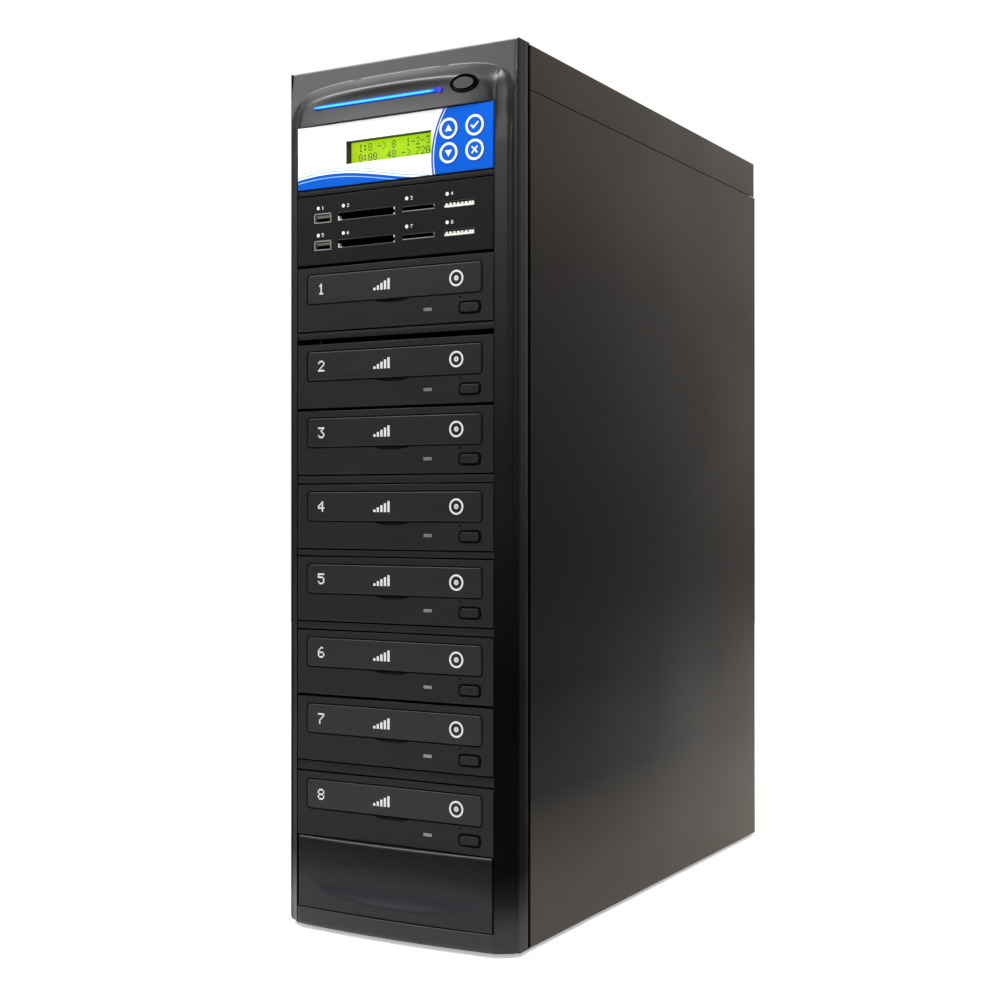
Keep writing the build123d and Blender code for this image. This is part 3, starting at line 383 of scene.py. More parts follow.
# Plain finishes: darker and lighter tone, roughness, grain (mm), relief
finishes = {
    # ABS from a spark-eroded mould: soft broad sheen
    "bezel_plastic": speckled("mouldedSatinPlastic", "#0c0c0e", "#121215", 0.34, 0.5, 0.16),
    # ABS from a duller mould, in the bezel's shade: almost no sheen
    "drive_plastic": speckled("drivePlastic", "#0a0908", "#100f0d", 0.46, 0.4, 0.3, level=0.22),
    "reader_plastic": speckled("readerPlastic", "#070707", "#0b0b0b", 0.46, 0.35, 0.3, level=0.13),
    # polished ABS: a small clear highlight
    "gloss_black_plastic": speckled("glossyBlackPlastic", "#0a0a0c", "#0f0f11", 0.3, 3.0, 0.03, level=0.35),
    # plain moulded plastics inside and at the back: grey-black, satin
    "inner_plastic": speckled("innerPlastic", "#1c1c1e", "#242426", 0.5, 0.6, 0.3),
    "tray_plastic": speckled("trayPlastic", "#18181a", "#212123", 0.4, 0.5, 0.25),
    "inlet_plastic": speckled("inletPlastic", "#0e0e0f", "#161617", 0.38, 0.5, 0.25),
    "rocker_plastic": speckled("rockerPlastic", "#101011", "#171718", 0.26, 0.5, 0.12),
    # clear plastic over a lamp that is off: grey and shiny
    "indicator_lens": speckled("indicatorLens", "#5a5c5a", "#717370", 0.22, 1.5, 0.08, coat=0.3),
    # galvanised sheet: pale grey, clouded by a spangle of 5 mm
    "zinc_steel": speckled("zincPlatedSteel", "#a9aaa9", "#c4c5c3", 0.36, 5.0, 0.12, metal=1.0),
    # turned and plated metals: brighter, with sharper highlights
    "motor_metal": speckled("motorMetal", "#8f9194", "#a9abae", 0.32, 1.0, 0.12, metal=1.0),
    "screw_steel": speckled("screwSteel", "#8a8a8a", "#a3a3a2", 0.3, 1.0, 0.1, metal=1.0),
    "thumbscrew_steel": speckled("thumbscrewSteel", "#8d8e8f", "#b1b2b3", 0.28, 0.6, 0.15, metal=1.0),
    # nickel-plated sleeves, deep in the slots: dimmed by painted shade
    "socket_metal": speckled("shadedNickelSleeve", "#4c4a47", "#66635f", 0.35, 1.2, 0.1, metal=1.0),
    # epoxy board under green lacquer: half gloss, faintly mottled
    "circuit_board": speckled("circuitBoard", "#0f4a2c", "#17603a", 0.38, 2.0, 0.2),
    # moulded rubber: black and dull
    "foot_rubber": speckled("footRubber", "#101010", "#191919", 0.75, 0.8, 0.5),
    # PVC wire jackets: dark grey, satin
    "wire_jacket": speckled("wireJacket", "#2b2b2d", "#3a3a3c", 0.5, 1.0, 0.2),
    "painted_steel": paintedSteel(),
    "tray_front_plastic": trayFrontPlastic(),
    "light_bar_lens": lightLens(),
    "overlay_film": overlayFilm(),
    "display_glass": displayGlass(),
    "key_film": keyFilm(),
}

# Finishes of single trim pieces
# painted shade: the bars between the bays in the bezel's ABS, darker and duller than the bezel
shadedBarPlastic = speckled("shadedBarPlastic", "#08080a", "#0e0e10", 0.5, 0.5, 0.2, level=0.2)  # ABS, dull
coverPlastic = speckled("lowerCoverPlastic", "#1a1a1f", "#222228", 0.38, 0.35, 0.3)  # spark-textured ABS
# painted shade: flat black with almost no sheen, for unlit gaps, seams and hollows
gapShadeBlack = speckled("shadowGap", "#020202", "#040404", 0.7, 1.0, 0.1, level=0.03)  # unlit gap: flat black
# painted highlight: the sleeves' nickel, lighter at the slots' edges
litSleeveNickel = speckled("litSleeveRim", "#85827d", "#a3a099", 0.36, 0.8, 0.08, metal=0.5)  # nickel in the light
guideMetal = speckled("brightContact", "#d9d7d0", "#efede6", 0.3, 0.8, 0.08, metal=0.55)  # tinned contacts
markWhite = speckled("printedWhite", "#e4e4e0", "#f2f2ee", 0.5, 0.6, 0.05)  # white ink on the reader
lampBlue = plainInk("lampSpot", "#0a10a0", "#0c14b4", 0.6)  # tinted lamp: deep blue glow
dotInk = plainInk("displayDots", "#16320a")  # liquid crystal: dark green
markGrey = plainInk("trayMarks", "#cfcfd2")  # pad-printed ink: light grey
markInk = plainInk("keyMarks", "#eef2fb")  # screen-printed ink: cool white

button = {"x": 53.8, "z": 540.0, "halfX": 7.3, "halfZ": 3.5}
# painted shade of the gap round the power button
darkRim(finishes["gloss_black_plastic"], button)
# painted light on the bezel: sheen and tone lowest from a tenth to a third of the height, highest at the lip
# and the head
fadeByHeight(finishes["bezel_plastic"], [
    (0.0, 0.5), (0.03, 0.42), (0.06, 0.1), (0.09, 0.02), (0.3, 0.02), (0.42, 0.08), (0.6, 0.26),
    (0.8, 0.4), (0.93, 0.5),
])
# painted light on the lower cover: lighter low down, darker towards its top, and a painted highlight along
# its top edge
fadeByHeight(coverPlastic, [(0.026, 0.26), (0.055, 0.26), (0.08, 0.12), (0.1067, 0.06), (0.1078, 1.0)])

# Which finish each node has, and how wide its edges are rounded (mm); 0 keeps the CAD node's edges
looks = {
    "light_bar": ("light_bar_lens", 0.3),
    "power_button": ("gloss_black_plastic", 0),
    "control_panel": ("overlay_film", 0),
    "display_module": ("display_glass", 0),
    "card_reader_panel": ("reader_plastic", 0),
    "card_reader_sockets": ("socket_metal", 0.1),
    "drive_bezels": ("drive_plastic", 0),
    "drive_indicator_lenses": ("indicator_lens", 0.15),
    "drive_cases": ("zinc_steel", 0),
    "spindle_motors": ("motor_metal", 0),
    "laser_sleds": ("inner_plastic", 0),
    "drive_screws": ("screw_steel", 0),
    "front_frame": ("zinc_steel", 0),
    "drive_cage_left": ("zinc_steel", 0),
    "drive_cage_right": ("zinc_steel", 0),
    "controller_board": ("circuit_board", 0),
    "chassis_base": ("zinc_steel", 0),
    "rear_panel": ("painted_steel", 0.2),
    "top_cover": ("painted_steel", 0.35),
    "side_panel_left": ("painted_steel", 0.35),
    "side_panel_right": ("painted_steel", 0.35),
    "thumbscrews_left": ("thumbscrew_steel", 0),
    "thumbscrews_right": ("thumbscrew_steel", 0),
    "feet": ("foot_rubber", 0.4),
    "power_supply_case": ("zinc_steel", 0.3),
    "power_inlet": ("inlet_plastic", 0.25),
    "power_rocker_switch": ("rocker_plastic", 0.3),
    "exhaust_fan_frame": ("inner_plastic", 0.4),
    "exhaust_fan_rotor": ("inner_plastic", 0.3),
    "wiring_loom": ("wire_jacket", 0),
    "key_up": ("key_film", 0),
    "key_enter": ("key_film", 0),
    "key_down": ("key_film", 0),
    "key_escape": ("key_film", 0),
}

# Finish behind the face of some pieces, and from what depth (mm); the flat black is painted shade in their
# recesses
insides = {
    "control_panel": (finishes["inner_plastic"], 0.7),
    "drive_bezels": (gapShadeBlack, 2.6),
    "card_reader_sockets": (gapShadeBlack, 1.6),
}
driveNumbers = range(1, 9)
for number in driveNumbers:
    looks[f"disc_tray_{number}"] = ("tray_plastic", 0.3)
    looks[f"tray_front_{number}"] = ("tray_front_plastic", 0)
    looks[f"eject_button_{number}"] = ("drive_plastic", 0)
    insides[f"tray_front_{number}"] = (gapShadeBlack, 1.0)

bodyOf = {}
for body, members in frame["record"]["behaviour"]["bodies"].items():
    for member in members:
        bodyOf[member] = body


def linked(name, data):
    thing = bpy.data.objects.new(name, data)
    bpy.context.scene.collection.objects.link(thing)
    return thing


def claim(piece, body, replaced=None):
    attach(piece, body)
    if replaced:
        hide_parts(replaced)


def smooth(mesh, degrees):
    mesh.shade_smooth()
    mesh.set_sharp_from_angle(angle=math.radians(degrees))


def keepFlat(mesh):
    # a face that looks along an axis is shaded flat
    for polygon in mesh.polygons:
        if max(abs(c) for c in polygon.normal) > 0.9999:
            polygon.use_smooth = False


def refined(name, finish, edge):
    # copy of a node's mesh: flats joined where edges are rounded, curves shaded smooth
    mesh = nodes[name].data.copy()
    mesh.name = name + "Shape"
    build = bmesh.new()
    build.from_mesh(mesh)
    bmesh.ops.remove_doubles(build, verts=build.verts, dist=0.002 * mm)
    if edge:
        bmesh.ops.dissolve_limit(
            build, angle_limit=math.radians(0.4), verts=build.verts, edges=build.edges, delimit={"NORMAL"},
        )
    build.to_mesh(mesh)
    build.free()
    mesh.materials.clear()
    mesh.materials.append(finishes[finish])
    piece = linked(name + "Look", mesh)
    smooth(mesh, 32)
    if edge:
        bevel = piece.modifiers.new("edges", "BEVEL")
        bevel.width = edge * mm
        bevel.segments = 2
        bevel.limit_method = "ANGLE"
        bevel.angle_limit = math.radians(40)
        bevel.harden_normals = True
        bevel.use_clamp_overlap = True
    else:
        keepFlat(mesh)
    claim(piece, bodyOf[name], name)
    return piece


def newPiece(name, shape, material, body, smoothAt=30, replaced=None):
    vertices, faces = shape
    mesh = bpy.data.meshes.new(name)
    mesh.from_pydata([tuple(c * mm for c in v) for v in vertices], [], faces)
    mesh.materials.append(material)
    smooth(mesh, smoothAt)
    claim(linked(name, mesh), body, replaced)


print("nodes")
for name, (finish, edge) in looks.items():
    mesh = refined(name, finish, edge).data
    if name in insides:
        material, depth = insides[name]
        mesh.materials.append(material)
        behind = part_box(name)[0].y + depth * mm
        for polygon in mesh.polygons:
            if polygon.center.y > behind:
                polygon.material_index = 1


# A shape is a list of vertices (mm) and a list of faces


def rectangle(x0, z0, x1, z1):
    return [(x0, z0), (x1, z0), (x1, z1), (x0, z1)]


def ellipse(x, z, halfX, halfZ, steps):
    angles = [2 * math.pi * i / steps for i in range(steps)]
    return [(x + halfX * math.cos(a), z + halfZ * math.sin(a)) for a in angles]


def flatPlate(outline, front, thickness):
    # thin plate from an outline in X and Z, facing the front
    count = len(outline)
    vertices = [(x, front, z) for x, z in outline] + [(x, front + thickness, z) for x, z in outline]
    turn = sum((b[0] - a[0]) * (b[1] + a[1]) for a, b in zip(outline, outline[1:] + outline[:1]))
    ring = list(range(count))
    if turn > 0:  # clockwise seen from the front
        ring.reverse()
    faces = [ring]
    for a, b in zip(ring, ring[1:] + ring[:1]):
        faces.append([b, a, a + count, b + count])
    faces.append([i + count for i in reversed(ring)])
    return vertices, faces


def loopQuads(loops, steps):
    # faces between loops of vertices, with the last loop joined to the first
    quads = []
    for loop in range(loops):
        after = (loop + 1) % loops
        for i in range(steps):
            j = (i + 1) % steps
            quads.append([loop * steps + i, after * steps + i, after * steps + j, loop * steps + j])
    return quads


def framePlate(outer, inner, front, thickness):
    # thin plate between two outlines with as many points
    back = front + thickness
    vertices = []
    for outline, y in ((outer, front), (inner, front), (inner, back), (outer, back)):
        vertices += [(x, y, z) for x, z in outline]
    return vertices, loopQuads(4, len(outer))


def faceOf(name):
    # middle and half sizes in X and Z of a node, and the Y of its front
    low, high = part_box(name)
    return {
        "x": (low.x + high.x) / 2 / mm, "z": (low.z + high.z) / 2 / mm, "front": low.y / mm,
        "halfX": (high.x - low.x) / 2 / mm, "halfZ": (high.z - low.z) / 2 / mm,
    }


def ringPlate(x, z, outer, inner, front, thickness, steps=64):
    outerLine = ellipse(x, z, outer, outer, steps)
    innerLine = ellipse(x, z, inner, inner, steps)
    return framePlate(outerLine, innerLine, front, thickness)


def joined(shapes):
    vertices, faces = [], []
    for shapeVertices, shapeFaces in shapes:
        start = len(vertices)
        vertices += shapeVertices
        faces += [[i + start for i in face] for face in shapeFaces]
    return vertices, faces


# Front bezel: one closed shell drawn from its section and the raised head's rounding
print("bezel")
bezel = {
    "front": -213.0, "rear": -188.0, "low": 2.5, "top": towerTop, "lipRadius": 3.0,
    "openHalf": 74.65, "openLow": 14.6, "openHigh": 527.0, "bow": 4.0,
    "sideFrom": -9.6, "seamFrom": -20.0,  # how far back the side face and the seam start
    "riseFrom": 500.0, "riseOver": 24.0,  # the head swells out of the strips over these heights
    "flange": -7.2, "flangeLean": 3.4, "flangeBend": 526.6, "beadFrom": 84.2, "outerFrom": 86.3,
    "archHalf": 86.6, "archLow": 520.0, "archHigh": 36.2, "archSides": 6, "archTop": 3.3, "crown": 2.0,
    "roll": 27.0, "rollShare": 0.85, "rollPower": 2.2,
    "crease": 0.3, "creaseSoft": 0.9, "creaseReach": 12.0, "creaseLift": 2.0,
    "troughZ": 539.1, "troughFloor": 0.8, "troughAbove": 30.0, "troughBelow": 64.0, "troughReach": 16.0,
    "troughSoft": 1.2,
}
# section of the right strip from the bay's edge outwards: X and how far it stands out
strip = [
    (74.65, -0.45), (74.78, -0.2), (75.0, -0.1), (75.4, -0.52), (76.2, -1.08), (77.4, -1.92), (78.6, -2.76),
    (79.8, -3.6), (81.0, -4.44), (81.9, -5.0), (82.5, -5.2), (83.0, -5.35), (83.5, -5.65), (83.9, -6.05),
    (84.2, -6.55), (84.4, -7.15), (84.6, -7.7), (84.95, -8.05), (85.4, -8.25), (85.9, -8.5), (86.35, -8.95),
    (86.65, -9.5), (86.8, -10.1), (86.85, -10.8), (86.85, -14.0), (86.85, -18.0), (86.85, -21.3),
    (86.7, -21.55), (85.6, -21.6), (85.55, -21.75), (85.55, -25.0),
]


def standsOut(x):
    return bezel["bow"] * (1 - (x / bezel["openHalf"]) ** 2)


def softMax(a, b, width):
    return 0.5 * (a + b + math.sqrt((a - b) ** 2 + width * width))


def quarterRound(t):
    # 0 at the start of a rounding, 1 at its end
    return 1 - math.sqrt(max(0.0, 1 - t))


def headFront(x, base, z):
    # how far the bezel stands out at X and Z, from what its plain section gives there
    side = abs(x)
    lipTop = bezel["lipRadius"] + bezel["low"]
    if z <= lipTop:
        base -= bezel["lipRadius"] * quarterRound(((lipTop - z) / bezel["lipRadius"]) ** 2)
    if z < bezel["riseFrom"] or side > bezel["outerFrom"]:
        return base
    leanShare = max(0.0, (z - bezel["flangeBend"]) / (bezel["top"] - bezel["flangeBend"]))
    back = bezel["flange"] - bezel["flangeLean"] * leanShare
    wide = min(side, bezel["archHalf"]) / bezel["archHalf"]
    tall = max(0.0, z + bezel["crown"] * wide ** 2 - bezel["archLow"]) / bezel["archHigh"]
    slopeX = bezel["archSides"] * wide ** (bezel["archSides"] - 1) / bezel["archHalf"]
    slopeZ = bezel["archTop"] * tall ** (bezel["archTop"] - 1) / bezel["archHigh"]
    steep = math.hypot(slopeX, slopeZ) + 0.0001
    away = (1 - wide ** bezel["archSides"] - tall ** bezel["archTop"]) / steep  # distance inside the arch
    t = min(1.0, max(0.0, (bezel["roll"] - away) / bezel["roll"]))
    rise = min(1.0, max(0.0, (z - bezel["riseFrom"]) / bezel["riseOver"]))
    rise = rise * rise * (3 - 2 * rise)  # eased at both ends
    fall = bezel["rollShare"] * t ** bezel["rollPower"] + (1 - bezel["rollShare"]) * quarterRound(t ** 3)
    pillow = base + rise * (back - bezel["crease"] - base) * fall
    if abs(z - bezel["troughZ"]) < bezel["troughReach"]:  # hollow of the light bar and the button
        radius = bezel["troughAbove"] if z > bezel["troughZ"] else bezel["troughBelow"]
        trough = bezel["troughFloor"] + (z - bezel["troughZ"]) ** 2 / (2 * radius)
        pillow = -softMax(-pillow, -trough, bezel["troughSoft"])
    if side > bezel["beadFrom"]:
        return max(base, back) if pillow > back else min(base, back)
    if away < bezel["creaseReach"] or pillow < back + bezel["creaseLift"]:
        return softMax(pillow, back, bezel["creaseSoft"])
    return pillow


def spread(low, high, step):
    count = max(1, round((high - low) / step))
    return [low + (high - low) * i / count for i in range(count + 1)]


middleXs = spread(-bezel["openHalf"], bezel["openHalf"], 1.25)[1:-1]
section = [(-x, f) for x, f in reversed(strip)] + [(x, standsOut(x)) for x in middleXs] + strip
# heights of the rows of vertices: close together on the lip, at the opening and on the head
levels = [2.5, 2.62, 2.85, 3.2, 3.7, 4.4, 5.2, 6.0, 8.0, 11.0, 13.9, 14.25, 14.45, bezel["openLow"]]
levels += spread(40.0, 500.0, 60.0) + spread(503.0, 526.0, 1.6) + [526.55, 526.85, bezel["openHigh"]]
levels += spread(527.3, 565.0, 0.65) + [565.5, 565.9, 566.15, bezel["top"]]
# how far the rounded edges lie back at some of the heights
topRound = {565.9: 0.08, 566.15: 0.22, bezel["top"]: 0.55}
openRound = {14.45: 0.12, bezel["openLow"]: 0.4, 526.55: 0.12, 526.85: 0.12, bezel["openHigh"]: 0.4}
vertices, faces, column = [], [], {}
for row, z in enumerate(levels):
    for col, (x, f) in enumerate(section):
        out = headFront(x, f, z) if f > bezel["sideFrom"] else f
        if abs(x) < bezel["openHalf"] - 0.01:
            out -= openRound.get(z, 0.0)
        if out > bezel["seamFrom"]:
            out -= topRound.get(z, 0.0)
        column[row, col] = len(vertices)
        vertices.append((x, bezel["front"] - out, z))
openColumns = [c for c, (x, f) in enumerate(section) if abs(x) <= bezel["openHalf"] + 0.001 and f > -0.5]
openRows = [r for r, z in enumerate(levels) if bezel["openLow"] <= z <= bezel["openHigh"]]
first, last = openColumns[0], openColumns[-1]
lowRow, highRow = openRows[0], openRows[-1]
for row in range(len(levels) - 1):
    for col in range(len(section) - 1):
        if first <= col < last and lowRow <= row < highRow:
            continue
        corners = [(row, col), (row, col + 1), (row + 1, col + 1), (row + 1, col)]
        faces.append([column[corner] for corner in corners])


def backEdge(loop):
    # walls from a run of front vertices straight back to the bezel's rear
    rear = []
    for index in loop:
        x, _, z = vertices[index]
        rear.append(len(vertices))
        vertices.append((x, bezel["rear"], z))
    for i in range(len(loop) - 1):
        faces.append([loop[i], rear[i], rear[i + 1], loop[i + 1]])


lastCol, lastRow = len(section) - 1, len(levels) - 1
opening = [column[lowRow, c] for c in range(first, last + 1)]
opening += [column[r, last] for r in range(lowRow + 1, highRow + 1)]
opening += [column[highRow, c] for c in range(last - 1, first - 1, -1)]
opening += [column[r, first] for r in range(highRow - 1, lowRow, -1)]
backEdge(opening + opening[:1])
backEdge([column[lastRow, c] for c in range(lastCol, -1, -1)])
backEdge([column[0, c] for c in range(lastCol + 1)])
build = bmesh.new()
for v in vertices:
    build.verts.new([c * mm for c in v])
build.verts.ensure_lookup_table()
for face in faces:
    corners = [build.verts[i] for i in dict.fromkeys(face)]
    if len(corners) > 2:
        build.faces.new(corners)
bmesh.ops.remove_doubles(build, verts=build.verts, dist=0.004 * mm)
rim = [edge for edge in build.edges if edge.is_boundary]
bmesh.ops.triangle_fill(build, use_beauty=True, use_dissolve=False, edges=rim)
bmesh.ops.recalc_face_normals(build, faces=build.faces)
shell = bpy.data.meshes.new("bezelShell")
build.to_mesh(shell)
build.free()
shell.materials.append(finishes["bezel_plastic"])
shell.materials.append(gapShadeBlack)
seam = {"inner": 85.2, "outer": 85.9, "front": -191.5}
# painted shade: the black seam strip stands for the shadowed seam
for polygon in shell.polygons:  # the seam towards the side panels is black
    x, y, z = (c / mm for c in polygon.center)
    if seam["inner"] < abs(x) < seam["outer"] and y > seam["front"]:
        polygon.material_index = 1
smooth(shell, 38)
claim(linked("bezelShell", shell), "casing", "front_bezel")


def roundedBar(low, high):
    # level bar whose front edges are rounded
    halfWidth, front, radius = bars["half"], bars["front"], bars["radius"]
    back, inset = front + bars["depth"], radius * 0.3
    outline = [(back, low), (front + radius, low), (front + inset, low + inset), (front, low + radius)]
    outline += [(front, high - radius), (front + inset, high - inset), (front + radius, high), (back, high)]
    count = len(outline)
    vertices = [(x, y, z) for x in (-halfWidth, halfWidth) for y, z in outline]
    sides = [[i, (i + 1) % count, (i + 1) % count + count, i + count] for i in range(count)]
    return vertices, sides + [list(range(count))[::-1], [i + count for i in range(count)]]


# Bars between the bays, each with its low and its high edge
bars = {
    "half": 75.2, "front": -212.2, "depth": 4.2, "radius": 0.25,
    "heights": [
        (481.5, 484.8), (387.1, 391.3), (292.6, 297.4), (245.4, 249.2), (197.4, 202.0), (104.7, 110.7),
    ],
}
barShapes = [roundedBar(low, high) for low, high in bars["heights"]]
newPiece("bezelBars", joined(barShapes), shadedBarPlastic, "casing")

# Lower blank cover: bowed face with a soft dish, closed at the sides and the back
print("lower cover")
cover = {
    "half": 73.35, "bow": 3.2, "depth": 14.0, "dishX": 2.0, "dishZ": 34.6, "dishHalf": 66.0, "dishUp": 12.6,
    "dishDepth": 3.1, "dishPower": 1.1,
    "edgeRound": {0: 0.7, 1: 0.3, 2: 0.08},  # how far the outer rows lie back
    "sideShare": 0.6,
}
coverXs = [-73.35, -73.2, -72.9, -72.4] + spread(-71.0, 71.0, 1.4) + [72.4, 72.9, 73.2, 73.35]
coverZs = [15.0, 15.15, 15.45, 15.9] + spread(16.8, 59.6, 0.95) + [60.4, 60.85, 61.15, 61.3]
columns, rows = len(coverXs), len(coverZs)
vertices, faces = [], []
for row, z in enumerate(coverZs):
    for col, x in enumerate(coverXs):
        out = cover["bow"] * (1 - (x / cover["half"]) ** 2)
        reach = ((x - cover["dishX"]) / cover["dishHalf"]) ** 2
        reach += ((z - cover["dishZ"]) / cover["dishUp"]) ** 2
        out -= cover["dishDepth"] * max(0.0, 1 - reach) ** cover["dishPower"]
        out -= cover["edgeRound"].get(min(row, rows - 1 - row), 0)
        out -= cover["sideShare"] * cover["edgeRound"].get(min(col, columns - 1 - col), 0)
        vertices.append((x, bezel["front"] - out, z))
for row in range(rows - 1):
    for col in range(columns - 1):
        a = row * columns + col
        faces.append([a, a + 1, a + columns + 1, a + columns])
rimLoop = list(range(columns)) + [r * columns + columns - 1 for r in range(1, rows)]
rimLoop += [(rows - 1) * columns + c for c in range(columns - 2, -1, -1)]
rimLoop += [r * columns for r in range(rows - 2, 0, -1)]
start, count = len(vertices), len(rimLoop)
vertices += [(vertices[i][0], bezel["front"] + cover["depth"], vertices[i][2]) for i in rimLoop]
for i in range(count):
    j = (i + 1) % count
    faces.append([rimLoop[i], start + i, start + j, rimLoop[j]])
faces.append([start + i for i in range(count)])
newPiece("lowerCoverShell", (vertices, faces), coverPlastic, "casing", 40, "lower_bay_cover")

# Black collar round the power button, in the flat unlit black of the gaps: painted shade
print("button collar")
collar = {
    "inner": (8.45, 4.35), "outer": (10.0, 5.75), "steps": 72,
    # share of the way from the inner to the outer rim, and Y
    "profile": [(0.0, -211.9), (0.0, -213.9), (0.25, -214.35), (0.65, -214.5), (1.0, -214.1), (1.0, -212.2)],
}
vertices = []
for share, y in collar["profile"]:
    halfX, halfZ = (a + share * (b - a) for a, b in zip(collar["inner"], collar["outer"]))
    vertices += [(x, y, z) for x, z in ellipse(button["x"], button["z"], halfX, halfZ, collar["steps"])]
quads = loopQuads(len(collar["profile"]), collar["steps"])
faces = [[a, d, c, b] for a, b, c, d in quads]
newPiece("buttonCollar", (vertices, faces), gapShadeBlack, "casing", 50)

# The bar's lamp at its right end
lamp = {"fromEnd": 2.2, "halfX": 1.75, "halfZ": 1.925, "lift": 0.25, "thickness": 0.3, "steps": 32}
face = faceOf("light_bar")
lampX = face["x"] + face["halfX"] - lamp["fromEnd"]
spot = ellipse(lampX, face["z"], lamp["halfX"], lamp["halfZ"], lamp["steps"])
lampPlate = flatPlate(spot, face["front"] - lamp["lift"], lamp["thickness"])
newPiece("lightSpot", lampPlate, lampBlue, "casing")

# Keys: white ring and a plain symbol on each
print("keys")
keys = {"ring": 6.55, "ringInner": 5.0, "lift": 0.05, "thickness": 0.1}
symbols = {
    "key_up": [[(-2.6, -1.7), (2.6, -1.7), (0, 2.5)]],
    "key_down": [[(-2.6, 1.7), (2.6, 1.7), (0, -2.5)]],
    "key_enter": [[(-3.0, -0.1), (-0.9, -2.3), (3.1, 1.6), (2.3, 2.4), (-0.9, -0.7), (-2.2, 0.7)]],
    "key_escape": [
        [(-2.4, -1.7), (-1.7, -2.4), (2.4, 1.7), (1.7, 2.4)],
        [(-2.4, 1.7), (-0.65, -0.05), (0.05, 0.65), (-1.7, 2.4)],
        [(1.7, -2.4), (2.4, -1.7), (0.65, 0.05), (-0.05, -0.65)],
    ],
}
for name, outlines in symbols.items():
    face = faceOf(name)
    x, z, front = face["x"], face["z"], face["front"] - keys["lift"]
    shapes = [ringPlate(x, z, keys["ring"], keys["ringInner"], front, keys["thickness"])]
    for outline in outlines:
        shapes.append(flatPlate([(x + a, z + b) for a, b in outline], front, keys["thickness"]))
    newPiece(name + "Marks", joined(shapes), markInk, bodyOf[name])

# Letters of 5 by 7 dots: each row's dots as two hexadecimal digits, from the top
glyphs = {
    "0": "0e11191513110e", "1": "040c040404040e", "2": "0e11010204081f", "3": "1f02040201110e",
    "4": "02060a121f0202", "5": "1f101e0101110e", "6": "0608101e11110e", "7": "1f010204080808",
    "8": "0e11110e11110e", "9": "0e11110f01020c", ":": "000c0c000c0c00", "-": "0000001f000000",
    ">": "08040201020408", " ": "00000000000000",
}


def glyphCells(letter):
    # column from the left and row from the top of each dot
    cells = []
    for row in range(7):
        bits = int(glyphs[letter][2 * row:2 * row + 2], 16)
        cells += [(column, row) for column in range(5) if bits >> (4 - column) & 1]
    return cells


def scattered(name, spots, shape, material, body):
    # small shape set on every spot by a Geometry Nodes tree, made one plain mesh
    seed = bpy.data.meshes.new(name + "Spots")
    seed.from_pydata([tuple(c * mm for c in s) for s in spots], [], [])
    carrier = linked(name + "Spots", seed)
    unit = bpy.data.meshes.new(name + "Unit")
    unit.from_pydata([tuple(c * mm for c in v) for v in shape[0]], [], shape[1])
    sample = linked(name + "Unit", unit)
    tree = bpy.data.node_groups.new(name + "Tree", "GeometryNodeTree")
    ports = tree.interface
    ports.new_socket("Spots", in_out="INPUT", socket_type="NodeSocketGeometry")
    ports.new_socket("Shape", in_out="INPUT", socket_type="NodeSocketObject")
    ports.new_socket("Size", in_out="INPUT", socket_type="NodeSocketFloat")
    ports.new_socket("Finish", in_out="INPUT", socket_type="NodeSocketMaterial")
    ports.new_socket("Result", in_out="OUTPUT", socket_type="NodeSocketGeometry")
    source = addNode(tree, "NodeGroupInput").outputs
    info = addNode(tree, "GeometryNodeObjectInfo", {"Object": source["Shape"]})
    copies = addNode(tree, "GeometryNodeInstanceOnPoints", {
        "Points": source["Spots"], "Instance": info.outputs["Geometry"], "Scale": source["Size"],
    })
    real = addNode(tree, "GeometryNodeRealizeInstances", {"Geometry": copies.outputs["Instances"]})
    painted = addNode(tree, "GeometryNodeSetMaterial", {
        "Geometry": real.outputs["Geometry"], "Material": source["Finish"],
    })
    addNode(tree, "NodeGroupOutput", {"Result": painted.outputs["Geometry"]})
    live = carrier.modifiers.new("spots", "NODES")
    live.node_group = tree
    values = {"Shape": sample, "Size": 1.0, "Finish": material}
    for item in ports.items_tree:
        if item.in_out == "INPUT" and item.name in values:
            live[item.identifier] = values[item.name]
    view = bpy.context.evaluated_depsgraph_get()
    mesh = bpy.data.meshes.new_from_object(carrier.evaluated_get(view))
    carrier.modifiers.remove(live)
    bpy.data.objects.remove(carrier)
    bpy.data.objects.remove(sample)
    mesh.materials.clear()
    mesh.materials.append(material)
    smooth(mesh, 30)
    claim(linked(name, mesh), body)


def squareDot(pitch):
    half = pitch * 0.52  # neighbours overlap a little
    return flatPlate(rectangle(-half, -half, half, half), 0, 0.08)


# Display: two rows of dark dots that make plain digits
print("display")
display = {
    "texts": ("1:8 -> 8  1-2-3", "0:00  48 -> 720"), "drops": (14.6, 20.9), "left": -29.3,
    "pitchX": 0.6102, "pitchZ": 0.702, "halfX": 0.28, "halfZ": 0.308, "lift": 0.06, "thickness": 0.05,
}
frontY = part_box("display_module")[0].y / mm - display["lift"]
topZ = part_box("control_panel")[1].z / mm
dots = []
for text, drop in zip(display["texts"], display["drops"]):
    for letterAt, letter in enumerate(text):
        for across, down in glyphCells(letter):
            x = display["left"] + (letterAt * 6 + across) * display["pitchX"]
            dots.append((x, frontY, topZ - drop - down * display["pitchZ"]))
dotOutline = rectangle(-display["halfX"], -display["halfZ"], display["halfX"], display["halfZ"])
dotShape = flatPlate(dotOutline, 0, display["thickness"])
scattered("displayDots", dots, dotShape, dotInk, "casing")

